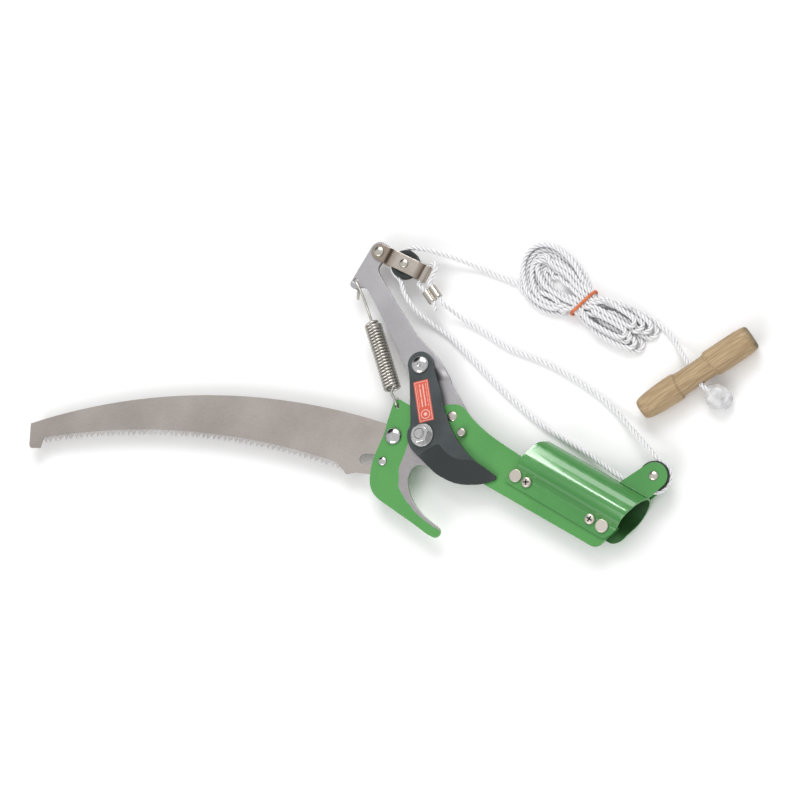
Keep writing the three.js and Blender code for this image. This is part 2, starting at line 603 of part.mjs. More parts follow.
head.add(mesh('lever_arm', leverArm(), steel));
head.add(mesh('cutting_blade', cuttingBlade(), blackCoat));
head.add(mesh('blade_label', bladeLabel(), redLabel));
head.add(mesh('blade_bolt',
  domed({ head: 7.2, height: 3.4, shank: 3, top: BLADE_TOP + GAP, bottom: -8 }), chrome, BLADE_BOLT));
head.add(mesh('blade_nut', nut(10, 3.3, -6.6, BACK - GAP), plated, BLADE_BOLT));

head.add(mesh('spring_coil', springCoil(), chrome));
head.add(mesh('spring_hook', springHook(), chrome));

const bracket = new THREE.Group();
bracket.position.set(ARM_RIVET[0], ARM_RIVET[1], 0);
bracket.rotation.z = radians(BRACKET_TURN);
bracket.add(mesh('pulley_bracket', pulleyBracket(), plated));
const rivetFace = FRONT + GAP + STRAP + GAP;
bracket.add(mesh('bracket_rivet', domed({ head: 4.6, height: 1.8, shank: 2.3, top: rivetFace,
  bottom: -rivetFace, tail: 4.2, tailHeight: 1.4 }), plated));
bracket.add(mesh('upper_pulley', pulley(), blackNylon, [AXLE_REACH, 0]));
bracket.add(mesh('upper_pulley_axle', pulleyAxle(3.9), plated, [AXLE_REACH, 0]));
head.add(bracket);

const clip = mesh('rope_clip', ropeClip(), plated);
clip.position.set(...CLIP);
clip.rotation.z = radians(CLIP_TURN);
head.add(clip);

for (const [name, route] of Object.entries(routes)) {
  head.add(mesh(name, tube(route, ROPE, routeSteps[name]), whiteRope));
}
head.add(mesh('rope_hank', ropeHank(), whiteRope));
head.add(mesh('hank_band', hankBand(), rubber));

const toggle = mesh('toggle_handle', toggleHandle(), wood);
toggle.position.set(...TOGGLE_END, TOGGLE_Z);
toggle.rotation.z = radians(TOGGLE_TURN);
toggle.rotateY(Math.PI / 2);
head.add(toggle);

const knot = mesh('rope_knot', ropeKnot(), knotted);
knot.position.set(188.6, 137.6, FLOOR + 7.2);
head.add(knot);

const prunerHead = new THREE.Group();
prunerHead.add(head);

export default prunerHead;
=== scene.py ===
"""Tree-pruner head for a pole: pull saw, rope-worked cutter, socket, spring, rope hank and toggle.

Lengths in the tables below are millimetres from the blade pivot, in the head plate's middle plane.
"""
import json
import math

import bmesh
import bpy
import numpy as np
from mathutils import Matrix, Vector, noise
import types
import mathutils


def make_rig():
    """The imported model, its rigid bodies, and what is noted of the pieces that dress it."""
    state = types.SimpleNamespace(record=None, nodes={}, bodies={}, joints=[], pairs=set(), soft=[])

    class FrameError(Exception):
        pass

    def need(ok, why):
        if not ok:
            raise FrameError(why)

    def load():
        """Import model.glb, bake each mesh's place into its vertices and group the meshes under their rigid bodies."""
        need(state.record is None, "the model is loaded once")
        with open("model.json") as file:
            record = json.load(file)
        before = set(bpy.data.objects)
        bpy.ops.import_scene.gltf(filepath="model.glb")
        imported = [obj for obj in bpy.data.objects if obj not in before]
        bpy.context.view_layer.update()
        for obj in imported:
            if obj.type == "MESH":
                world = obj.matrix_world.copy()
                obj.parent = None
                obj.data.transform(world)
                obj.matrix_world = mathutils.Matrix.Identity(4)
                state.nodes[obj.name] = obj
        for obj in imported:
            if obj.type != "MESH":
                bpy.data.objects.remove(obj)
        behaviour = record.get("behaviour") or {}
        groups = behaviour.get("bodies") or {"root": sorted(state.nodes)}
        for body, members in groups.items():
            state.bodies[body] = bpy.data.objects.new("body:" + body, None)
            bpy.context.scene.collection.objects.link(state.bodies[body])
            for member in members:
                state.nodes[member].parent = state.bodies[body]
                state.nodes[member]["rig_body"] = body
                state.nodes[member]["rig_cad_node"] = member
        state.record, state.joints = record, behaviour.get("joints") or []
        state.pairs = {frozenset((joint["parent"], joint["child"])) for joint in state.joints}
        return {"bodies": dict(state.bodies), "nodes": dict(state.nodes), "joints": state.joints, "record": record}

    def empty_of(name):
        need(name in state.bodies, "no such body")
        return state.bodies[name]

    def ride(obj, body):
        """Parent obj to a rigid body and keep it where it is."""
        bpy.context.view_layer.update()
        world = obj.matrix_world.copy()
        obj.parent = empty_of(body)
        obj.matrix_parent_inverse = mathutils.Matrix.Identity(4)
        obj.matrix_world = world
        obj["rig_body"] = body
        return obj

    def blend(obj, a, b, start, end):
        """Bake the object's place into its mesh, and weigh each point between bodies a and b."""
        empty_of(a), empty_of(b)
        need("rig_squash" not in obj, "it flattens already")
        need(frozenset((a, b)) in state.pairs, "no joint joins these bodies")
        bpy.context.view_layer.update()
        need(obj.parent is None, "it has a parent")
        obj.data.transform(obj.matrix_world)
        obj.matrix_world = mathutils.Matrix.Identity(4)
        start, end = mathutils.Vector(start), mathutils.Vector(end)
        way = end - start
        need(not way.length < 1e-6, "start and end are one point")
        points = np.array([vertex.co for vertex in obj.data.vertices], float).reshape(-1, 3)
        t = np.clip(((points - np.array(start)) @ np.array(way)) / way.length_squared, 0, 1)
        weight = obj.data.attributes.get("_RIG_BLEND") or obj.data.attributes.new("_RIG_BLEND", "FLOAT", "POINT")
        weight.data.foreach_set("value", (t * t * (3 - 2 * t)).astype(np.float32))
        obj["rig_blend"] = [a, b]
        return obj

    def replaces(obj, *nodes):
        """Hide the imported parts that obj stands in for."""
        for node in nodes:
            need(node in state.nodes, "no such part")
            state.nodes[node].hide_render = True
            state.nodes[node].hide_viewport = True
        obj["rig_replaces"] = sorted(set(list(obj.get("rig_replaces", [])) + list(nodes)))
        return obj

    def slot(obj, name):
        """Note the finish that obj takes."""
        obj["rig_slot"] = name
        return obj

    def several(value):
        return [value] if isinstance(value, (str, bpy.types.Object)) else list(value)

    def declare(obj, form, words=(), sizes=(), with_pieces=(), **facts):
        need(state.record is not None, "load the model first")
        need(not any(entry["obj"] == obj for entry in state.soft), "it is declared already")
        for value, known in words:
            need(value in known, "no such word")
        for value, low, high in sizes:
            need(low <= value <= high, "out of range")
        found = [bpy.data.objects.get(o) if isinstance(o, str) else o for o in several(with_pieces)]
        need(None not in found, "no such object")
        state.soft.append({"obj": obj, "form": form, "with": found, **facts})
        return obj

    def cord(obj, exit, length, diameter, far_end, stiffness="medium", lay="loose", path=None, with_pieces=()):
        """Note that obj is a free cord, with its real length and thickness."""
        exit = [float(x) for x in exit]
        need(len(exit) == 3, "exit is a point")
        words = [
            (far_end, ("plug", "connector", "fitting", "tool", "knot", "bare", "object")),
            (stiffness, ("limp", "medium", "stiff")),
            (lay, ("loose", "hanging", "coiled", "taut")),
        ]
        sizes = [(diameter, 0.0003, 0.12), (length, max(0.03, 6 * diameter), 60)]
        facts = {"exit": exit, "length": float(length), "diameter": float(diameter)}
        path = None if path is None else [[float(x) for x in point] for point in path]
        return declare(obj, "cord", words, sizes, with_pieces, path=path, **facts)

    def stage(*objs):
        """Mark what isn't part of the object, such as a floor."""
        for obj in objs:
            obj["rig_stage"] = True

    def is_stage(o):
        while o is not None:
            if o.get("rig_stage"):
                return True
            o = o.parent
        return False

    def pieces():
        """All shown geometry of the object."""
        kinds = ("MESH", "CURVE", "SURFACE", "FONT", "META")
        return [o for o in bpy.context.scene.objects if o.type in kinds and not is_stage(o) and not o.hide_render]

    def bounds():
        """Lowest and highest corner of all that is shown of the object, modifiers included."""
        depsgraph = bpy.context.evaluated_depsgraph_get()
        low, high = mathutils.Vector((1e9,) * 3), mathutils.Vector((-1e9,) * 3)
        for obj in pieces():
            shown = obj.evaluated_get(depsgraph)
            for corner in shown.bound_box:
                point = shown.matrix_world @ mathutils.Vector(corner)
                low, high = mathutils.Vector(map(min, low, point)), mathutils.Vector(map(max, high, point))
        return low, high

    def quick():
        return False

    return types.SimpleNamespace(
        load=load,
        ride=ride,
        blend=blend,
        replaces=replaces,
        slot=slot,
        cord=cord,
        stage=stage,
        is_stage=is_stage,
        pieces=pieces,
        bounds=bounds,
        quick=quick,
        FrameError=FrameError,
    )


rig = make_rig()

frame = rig.load()
CAD_LOW, CAD_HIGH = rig.bounds()
scene = bpy.context.scene

MM = 0.001
PIVOT = Vector((69.5, 28.64, 15.5))    # the pivot in the row frame
FLOOR = -15.5

# Shared sizes, as in the CAD model.
PLATE, GAP, SAW, STRAP, SHEET = 3.0, 0.3, 1.4, 1.5, 1.5
FRONT, BACK = 1.5, -1.5
BLADE_Z, BLADE_TOP = 2.8, 5.8
SAW_TOP = -1.8
LEVER_BACK = -4.8
SOCKET_RADIUS, SOCKET_Y, SLANT, SOCKET_START, SOCKET_END = 15.5, 30.0, 0.3, 77.0, 171.0
SOCKET_MOUTH = 184.5
SAW_BOLT, SAW_PIN = (-23.3, -12.4), (-20.4, -34.0)
PLATE_RIVET, STOP_PIN = (11.9, 24.8), (27.1, 17.5)
SOCKET_RIVETS = [(84.1, 9.6), (164.1, 9.8)]
CLAMP_SCREWS = [(94.6, 9.5), (153.3, 9.7)]
BLADE_BOLT = (-32.6, 47.4)
EAR_HOLE = (-33.7, 9.8)
SPRING_HOLE = (-123.3, 81.2)
ARM_RIVET = (-117.6, 111.3)
BRACKET_TURN = math.radians(2.5)
AXLE_REACH, EYE_REACH = 26.1, 44.9
LOWER_PULLEY = (179.5, 61.8)
UPPER_PULLEY = (ARM_RIVET[0] + AXLE_REACH * math.cos(BRACKET_TURN),
                ARM_RIVET[1] + AXLE_REACH * math.sin(BRACKET_TURN))
PULLEY_RADIUS, PULLEY_ROOT, PULLEY_WIDTH, ROPE_TURN = 11.9, 8.8, 5.8, 11.7
COIL_TOP, COIL_FOOT = (-91.2, 57.7), (-44.9, 19.2)
TOOTH_PAIR, TOOTH_DEPTH = 10, 4.6
ROPE, ROPE_LAY, ROPE_STEP = 4.0, 13.0, 0.9
ROPE_Z = FLOOR + ROPE / 2 + 0.15
PIVOT_HOLE, BOLT_HOLE, RIVET_HOLE, PIN_HOLE, WIRE_HOLE = 4.3, 3.3, 2.6, 2.5, 2.0     # radii
NUT_TURN = 0.25
TOGGLE_TURN = math.radians(62.5)


# ------------------------------------------------------------------ camera

def camera():
    """Looks down at the tool as it lies, with its pole end to the lower right."""
    data = bpy.data.cameras.new("camera")
    cam = bpy.data.objects.new("camera", data)
    scene.collection.objects.link(cam)
    data.lens = 82.8
    data.sensor_width = 36
    data.clip_end = 20
    right = Vector((0.7828, 0.5039, -0.3650)).normalized()
    back = Vector((0.4226, 0, 0.9063)).normalized()
    up = back.cross(right).normalized()
    right = up.cross(back)
    turn = Matrix((right, up, back)).transposed()
    cam.matrix_world = Matrix.Translation((0.6565, 0.0438, 1.3496)) @ turn.to_4x4()
    scene.camera = cam


camera()


# ------------------------------------------------------------------ curves and outlines

def arc(x, y, r, a0, a1, n=12):
    """Points on a circle from one angle to another, in degrees."""
    return [(x + r * math.cos(math.radians(a0 + (a1 - a0) * i / n)),
             y + r * math.sin(math.radians(a0 + (a1 - a0) * i / n))) for i in range(n + 1)]


def circle(at, r, n=40):
    return arc(at[0], at[1], r, 0, 360, n)[:-1]


def smooth(points, steps):
    """A uniform Catmull-Rom curve through the points."""
    p = [Vector(q) for q in points]
    out = []
    for i in range(steps + 1):
        t = (len(p) - 1) * i / steps
        k = min(int(t), len(p) - 2)
        w = t - k
        a, b, c, d = p[max(k - 1, 0)], p[k], p[k + 1], p[min(k + 2, len(p) - 1)]
        v0, v1 = (c - a) * 0.5, (d - b) * 0.5
        out.append(tuple((2 * b - 2 * c + v0 + v1) * w ** 3
                         + (-3 * b + 3 * c - 2 * v0 - v1) * w ** 2 + v0 * w + b))
    return out


def bow(a, b, sagitta, n):
    """A circular arc from a to b that bows to the left of the way from a to b."""
    p, q = Vector(a), Vector(b)
    chord = q - p
    r = chord.length_squared / (8 * sagitta) + sagitta / 2
    left = Vector((-chord.y, chord.x)).normalized()
    c = (p + q) / 2 + left * (sagitta - r)
    start = math.atan2(p.y - c.y, p.x - c.x)
    sweep = -2 * math.asin(chord.length / (2 * r))
    return [(c.x + r * math.cos(start + sweep * i / n), c.y + r * math.sin(start + sweep * i / n))
            for i in range(n + 1)]


def even(points, step):
    """The polyline resampled to equal steps of about the given length."""
    p = np.array(points, float)
    d = np.r_[0, np.cumsum(np.linalg.norm(np.diff(p, axis=0), axis=1))]
    n = max(2, int(round(d[-1] / step)))
    at = np.linspace(0, d[-1], n + 1)
    return np.stack([np.interp(at, d, p[:, k]) for k in range(p.shape[1])], 1)


def route(points, step=1.0):
    """A centripetal Catmull-Rom curve through 3D points, in equal steps."""
    p = [np.array(q, float) for q in points]
    p = [2 * p[0] - p[1]] + p + [2 * p[-1] - p[-2]]
    out = []
    for i in range(1, len(p) - 2):
        a, b, c, d = p[i - 1], p[i], p[i + 1], p[i + 2]
        t1 = max(np.linalg.norm(b - a), 1e-6) ** 0.5
        t2 = t1 + max(np.linalg.norm(c - b), 1e-6) ** 0.5
        t3 = t2 + max(np.linalg.norm(d - c), 1e-6) ** 0.5
        for t in np.linspace(t1, t2, 16, endpoint=False):
            a1 = (t1 - t) / t1 * a + t / t1 * b
            a2 = (t2 - t) / (t2 - t1) * b + (t - t1) / (t2 - t1) * c
            a3 = (t3 - t) / (t3 - t2) * c + (t - t2) / (t3 - t2) * d
            b1 = (t2 - t) / t2 * a1 + t / t2 * a2
            b2 = (t3 - t) / (t3 - t1) * a2 + (t - t1) / (t3 - t1) * a3
            out.append((t2 - t) / (t2 - t1) * b1 + (t - t1) / (t2 - t1) * b2)
    out.append(p[-2])
    return even(out, step)


def fillet(points, radius, n=3, closed=False):
    """The polyline with each corner rounded."""
    p = [Vector(q) for q in points]
    out = []
    for i, q in enumerate(p):
        if not closed and i in (0, len(p) - 1):
            out.append(tuple(q))
            continue
        a, b = p[i - 1], p[(i + 1) % len(p)]
        u, v = a - q, b - q
        if u.length < 1e-6 or v.length < 1e-6 or abs(u.angle(v) - math.pi) < 0.15:
            out.append(tuple(q))
            continue
        r = min(radius, u.length * 0.45, v.length * 0.45)
        s, e = q + u.normalized() * r, q + v.normalized() * r
        for k in range(n + 1):
            t = k / n
            out.append(tuple(s * (1 - t) ** 2 + q * 2 * t * (1 - t) + e * t * t))
    return out


def inside(points, polygon):
    """For each point, whether it is in the polygon, and its distance to the polygon's line."""
    p = np.array(points, float)[:, None, :]
    a = np.array(polygon, float)[None]
    b = np.roll(a, -1, axis=1)
    d = b - a
    t = np.clip(((p - a) * d).sum(2) / np.maximum((d * d).sum(2), 1e-9), 0, 1)
    gap = np.linalg.norm(p - (a + d * t[..., None]), axis=2).min(1)
    crosses = (a[..., 1] > p[..., 1]) != (b[..., 1] > p[..., 1])
    x = a[..., 0] + (p[..., 1] - a[..., 1]) * d[..., 0] / np.where(d[..., 1] == 0, 1e-9, d[..., 1])
    return (crosses & (p[..., 0] < x)).sum(1) % 2 == 1, gap


def signed(points, polygon):
    """Distance to the polygon's line, positive inside it."""
    within, gap = inside(points, polygon)
    return np.where(within, gap, -gap)


# ------------------------------------------------------------------ mesh helpers

def finish_mesh(ob, angle=38, weighted=True):
    """Smooth shading with sharp edges where faces meet at more than the angle."""
    mesh = ob.data
    mesh.shade_smooth()
    mesh.set_sharp_from_angle(angle=math.radians(angle))
    if weighted:
        m = ob.modifiers.new("normals", "WEIGHTED_NORMAL")
        m.keep_sharp = True
    return ob


def applied(ob):
    """The object's shape with its modifiers, as a mesh."""
    bpy.context.view_layer.update()
    return bpy.data.meshes.new_from_object(ob.evaluated_get(bpy.context.evaluated_depsgraph_get()))


def skin(bm, rings, closed=False):
    """Faces between rings of vertices; a ring of one vertex closes an end."""
    for a, b in zip(rings, rings[1:] + rings[:1] if closed else rings[1:]):
        n = max(len(a), len(b))
        for k in range(n):
            j = (k + 1) % n
            if len(b) == 1 < len(a):
                bm.faces.new((a[k], b[0], a[j]))
            elif len(a) == 1 < len(b):
                bm.faces.new((a[0], b[k], b[j]))
            elif len(a) > 1:
                bm.faces.new((a[k], b[k], b[j], a[j]))


def to_object(name, bm, angle=38, weighted=True, place=None):
    """A piece from a bmesh in millimetres about the pivot."""
    bmesh.ops.recalc_face_normals(bm, faces=bm.faces)
    if place is not None:
        bmesh.ops.transform(bm, matrix=place, verts=bm.verts)
    world = Matrix.Scale(MM, 4) @ Matrix.Translation(PIVOT)
    bmesh.ops.transform(bm, matrix=world, verts=bm.verts)
    mesh = bpy.data.meshes.new(name)
    bm.to_mesh(mesh)
    bm.free()
    ob = bpy.data.objects.new(name, mesh)
    scene.collection.objects.link(ob)
    return finish_mesh(ob, angle, weighted)


def slab(outline, holes, z0, z1, bevel=0.3, rounds=2):
    """A plate with rounded edges as a bmesh, from an outline and its holes."""
    cu = bpy.data.curves.new("slab", "CURVE")
    cu.dimensions = "2D"
    cu.fill_mode = "BOTH"
    cu.extrude = (z1 - z0) / 2 - bevel
    cu.bevel_depth = bevel
    cu.bevel_resolution = rounds - 1
    cu.offset = -bevel
    for loop in [outline] + holes:
        sp = cu.splines.new("POLY")
        sp.points.add(len(loop) - 1)
        for point, (x, y) in zip(sp.points, loop):
            point.co = (x, y, 0, 1)
        sp.use_cyclic_u = True
    ob = bpy.data.objects.new("slab", cu)
    scene.collection.objects.link(ob)
    mesh = applied(ob)
    bm = bmesh.new()
    bm.from_mesh(mesh)
    bmesh.ops.remove_doubles(bm, verts=bm.verts, dist=0.002)
    bmesh.ops.translate(bm, vec=(0, 0, (z0 + z1) / 2), verts=bm.verts)
    bpy.data.objects.remove(ob)
    bpy.data.curves.remove(cu)
    bpy.data.meshes.remove(mesh)
    return bm


def cuts(bm, axis, values):
    """Edges across the mesh where the coordinate along axis has these values."""
    n = Vector(axis)
    for v in values:
        geom = bm.verts[:] + bm.edges[:] + bm.faces[:]
        bmesh.ops.bisect_plane(bm, geom=geom, plane_co=n * v, plane_no=n, dist=1e-4)


def lathe(name, profile, at=(0, 0), n=48, round_to=0.25, closed=False):
    """A turned piece about Z through a point: (radius, z) pairs, from axis to axis unless closed."""
    bm = bmesh.new()
    rings = []
    for r, z in fillet(profile, round_to, 3, closed):
        ring = [(0, 0)] if r < 1e-6 else circle((0, 0), r, n)
        rings.append([bm.verts.new((x, y, z)) for x, y in ring])
    skin(bm, rings, closed)
    return to_object(name, bm, place=Matrix.Translation((*at, 0)))


def hexagon(name, across, hole, z0, z1, at, turn=0.0):
    """A chamfered hexagon nut or, with no hole, a bolt head."""
    n = 72
    flat = across / 2
    chamfer = flat * 0.97
    bm = bmesh.new()

    def ring(radius, height):
        return [bm.verts.new((radius(a) * math.cos(a), radius(a) * math.sin(a), height(a)))
                for a in [2 * math.pi * k / n for k in range(n)]]

    def corner(a):
        return flat / math.cos((a - turn + math.pi / 6) % (math.pi / 3) - math.pi / 6)

    def drop(a):
        return (corner(a) - chamfer) * 0.55

    rings = [ring(lambda a: chamfer, lambda a: z0), ring(corner, lambda a: z0 + drop(a)),
             ring(corner, lambda a: z1 - drop(a)), ring(lambda a: chamfer, lambda a: z1)]
    if hole:
        rings += [ring(lambda a: hole + 0.6, lambda a: z1), ring(lambda a: hole, lambda a: z1 - 0.6),
                  ring(lambda a: hole, lambda a: z0 + 0.6), ring(lambda a: hole + 0.6, lambda a: z0)]
    else:
        bm.faces.new(list(reversed(rings[0])))
        bm.faces.new(rings[-1])
    skin(bm, rings, closed=bool(hole))
    return to_object(name, bm, angle=25, place=Matrix.Translation((*at, 0)))


def frames(p):
    """Tangents and a twist-free pair of normals along a polyline."""
    t = np.gradient(p, axis=0)
    t /= np.linalg.norm(t, axis=1)[:, None]
    u = np.zeros_like(t)
    first = np.cross(t[0], [0, 0, 1.0])
    if np.linalg.norm(first) < 1e-3:
        first = np.cross(t[0], [0, 1.0, 0])
    u[0] = first / np.linalg.norm(first)
    for i in range(1, len(p)):
        w = u[i - 1] - t[i] * (u[i - 1] @ t[i])
        u[i] = w / np.linalg.norm(w)
    return t, u, np.cross(t, u)


def sweep(name, p, section, twist=None, angle=60, cap=True, uv=None, groove=None):
    """A closed tube: section(i) gives (a, b) offsets along the two normals at point i."""
    p = np.array(p, float)
    _, u, v = frames(p)
    rings = []
    for i in range(len(p)):
        s = np.array(section(i))
        if twist is not None:
            c, d = math.cos(twist[i]), math.sin(twist[i])
            s = np.stack([s[:, 0] * c - s[:, 1] * d, s[:, 0] * d + s[:, 1] * c], 1)
        rings.append(p[i] + s[:, :1] * u[i] + s[:, 1:] * v[i])
    n = len(rings[0])
    co = np.concatenate(rings)
    faces = []
    for i in range(len(p) - 1):
        for k in range(n):
            j = (k + 1) % n
            faces.append((i * n + k, i * n + j, (i + 1) * n + j, (i + 1) * n + k))
    if cap:
        faces.append(tuple(range(n - 1, -1, -1)))
        faces.append(tuple((len(p) - 1) * n + k for k in range(n)))
    co = (co + np.array(PIVOT)) * MM
    mesh = bpy.data.meshes.new(name)
    mesh.from_pydata(co.tolist(), [], faces)
    mesh.update()
    # The groove attribute is painted shade for the rope: how far each point lies towards the grooves between strands.
    if groove is not None:
        a = mesh.attributes.new("groove", "FLOAT", "POINT")
        a.data.foreach_set("value", np.tile(groove, len(p)).astype(np.float32))
    if uv is not None:
        layer = mesh.uv_layers.new(name="lay")
        index = np.zeros(len(mesh.loops), int)
        mesh.loops.foreach_get("vertex_index", index)
        ring, k = index // n, index % n
        place = np.stack([uv[0][k], ring * uv[1]], 1)
        layer.data.foreach_set("uv", place.astype(np.float32).ravel())
    ob = bpy.data.objects.new(name, mesh)
    scene.collection.objects.link(ob)
    return finish_mesh(ob, angle, weighted=False)


def wire(name, p, d, n=12):
    """A round wire with slightly rounded ends."""
    ring = np.array(circle((0, 0), 1, n))
    count = len(p)

    def section(i):
        from_end = min(i, count - 1 - i)
        return ring * d / 2 * (1, 0.92, 0.7)[max(0, 2 - from_end)]

    return sweep(name, p, section)


def rope(name, p, start):
    """Three strands laid right-handed, as one closed tube round the given line."""
    lobes, per = 3, 8
    r_strand, r_lay = ROPE * 0.272, ROPE * 0.25
    ring, groove_shade, across = [], [], []
    for s in range(lobes):
        for k in range(per):
            a = (k + 0.5) / per * 2 - 1
            theta = a * math.pi / 3
            # Outer side of the strand's circle, seen from the rope's centre.
            reach = r_lay * math.cos(theta) + math.sqrt(r_strand ** 2 - (r_lay * math.sin(theta)) ** 2)
            reach -= 0.16 * abs(a) ** 6
            angle = theta + s * 2 * math.pi / lobes
            ring.append((reach * math.cos(angle), reach * math.sin(angle)))
            # Painted shade: this value is largest at the strands' edges, in the grooves, and darkens the colour there.
            groove_shade.append(a * a)
            across.append(a * 0.5 + 0.5)
    ring = np.array(ring)
    step = float(np.linalg.norm(np.diff(p, axis=0), axis=1).mean())
    twist = 2 * math.pi * np.arange(len(p)) * step / ROPE_LAY + start
    return sweep(name, p, lambda i: ring, twist=twist, angle=70,
                 uv=(np.array(across), step), groove=np.array(groove_shade))


# ------------------------------------------------------------------ materials

def display(color):
    """A display colour, 0 to 255, as a linear one."""
    return tuple(v / 255 / 12.92 if v <= 10 else ((v / 255 + 0.055) / 1.055) ** 2.4 for v in color) + (1.0,)


class Nodes:
    """A few shader nodes joined up by short calls."""

    def __init__(self, tree, coordinates):
        self.tree = tree
        self.place = self.add("TexCoord").outputs[coordinates]

    def put(self, socket, value):
        if isinstance(value, bpy.types.NodeSocket):
            self.tree.links.new(value, socket)
        else:
            socket.default_value = value

    def add(self, kind, **values):
        node = self.tree.nodes.new("ShaderNode" + kind)
        for key, value in values.items():
            self.put(node.inputs[key.replace("_", " ")], value)
        return node

    def stretch(self, scale, turn=0.0, source=None):
        """Coordinates turned first and then scaled, so that streaks follow the turned axes."""
        turned = self.add("Mapping", Vector=source or self.place, Rotation=(0, 0, -turn))
        return self.add("Mapping", Vector=turned.outputs[0], Scale=scale).outputs[0]

    def noise(self, scale, detail=3.0, rough=0.6, vector=None):
        node = self.add("TexNoise", Vector=vector or self.place, Scale=scale, Detail=detail, Roughness=rough)
        return node.outputs["Fac"]

    def ramp(self, value, low, high, to_low=0.0, to_high=1.0):
        node = self.add("MapRange", Value=value, From_Min=low, From_Max=high, To_Min=to_low, To_Max=to_high)
        node.interpolation_type = "SMOOTHSTEP"
        return node.outputs["Result"]

    def math(self, op, a, b=0.0):
        node = self.add("Math")
        node.operation = op
        self.put(node.inputs[0], a)
        self.put(node.inputs[1], b)
        return node.outputs[0]

    def plus(self, a, b):
        return self.math("ADD", a, b)

    def minus(self, a, b):
        return self.math("SUBTRACT", a, b)

    def times(self, a, b):
        return self.math("MULTIPLY", a, b)

    def size(self, a):
        return self.math("ABSOLUTE", a)

    def mix(self, share, a, b):
        """A mix of two colours, each a display colour or another node's output."""
        node = self.add("Mix")
        node.data_type = "RGBA"
        self.put(node.inputs["Factor"], share)
        for key, color in (("A", a), ("B", b)):
            self.put(node.inputs[key], display(color) if isinstance(color, tuple) else color)
        return node.outputs["Result"]

    def tones(self, scale, a, b, detail=3.0, rough=0.6):
        """Slow changes between two colours."""
        return self.mix(self.ramp(self.noise(scale, detail, rough), 0.3, 0.7), a, b)


class Surface(Nodes):
    """A material with one principled shader."""

    def __init__(self, name):
        self.material = bpy.data.materials.new(name)
        self.material.use_nodes = True
        self.material.node_tree.nodes.clear()
        super().__init__(self.material.node_tree, "Object")
        self.shader = self.add("BsdfPrincipled")
        self.add("OutputMaterial", Surface=self.shader.outputs[0])

    def set(self, **values):
        for key, value in values.items():
            self.put(self.shader.inputs[key.replace("_", " ")], value)

    def bump(self, height, strength, distance=0.0002):
        """The finished material, with this relief."""
        node = self.add("Bump", Strength=strength, Distance=distance, Height=height)
        self.set(Normal=node.outputs[0])
        return self.material

    def attribute(self, name):
        node = self.add("Attribute")
        node.attribute_name = name
        return node.outputs["Fac"]

    def uv(self, name):
        node = self.add("UVMap")
        node.uv_map = name
        return node.outputs[0]


def metal(name, color, dark, rough, streak=(90, 90, 90), turn=0.0, scale=12.0):
    """Bright metal with fine grinding or rolling marks along one way, and slow changes of tone."""
    n = Surface(name)
    fine = n.noise(scale, 4, 0.65, n.stretch(streak, math.radians(turn)))
    tone = n.plus(n.times(fine, 0.6), n.times(n.noise(28, 2, 0.5), 0.4))
    n.set(Base_Color=n.mix(n.ramp(tone, 0.25, 0.75), dark, color), Metallic=1.0,
          Roughness=n.ramp(fine, 0.2, 0.8, rough + 0.09, rough - 0.07))
    return n.bump(fine, 0.05, 0.00015)


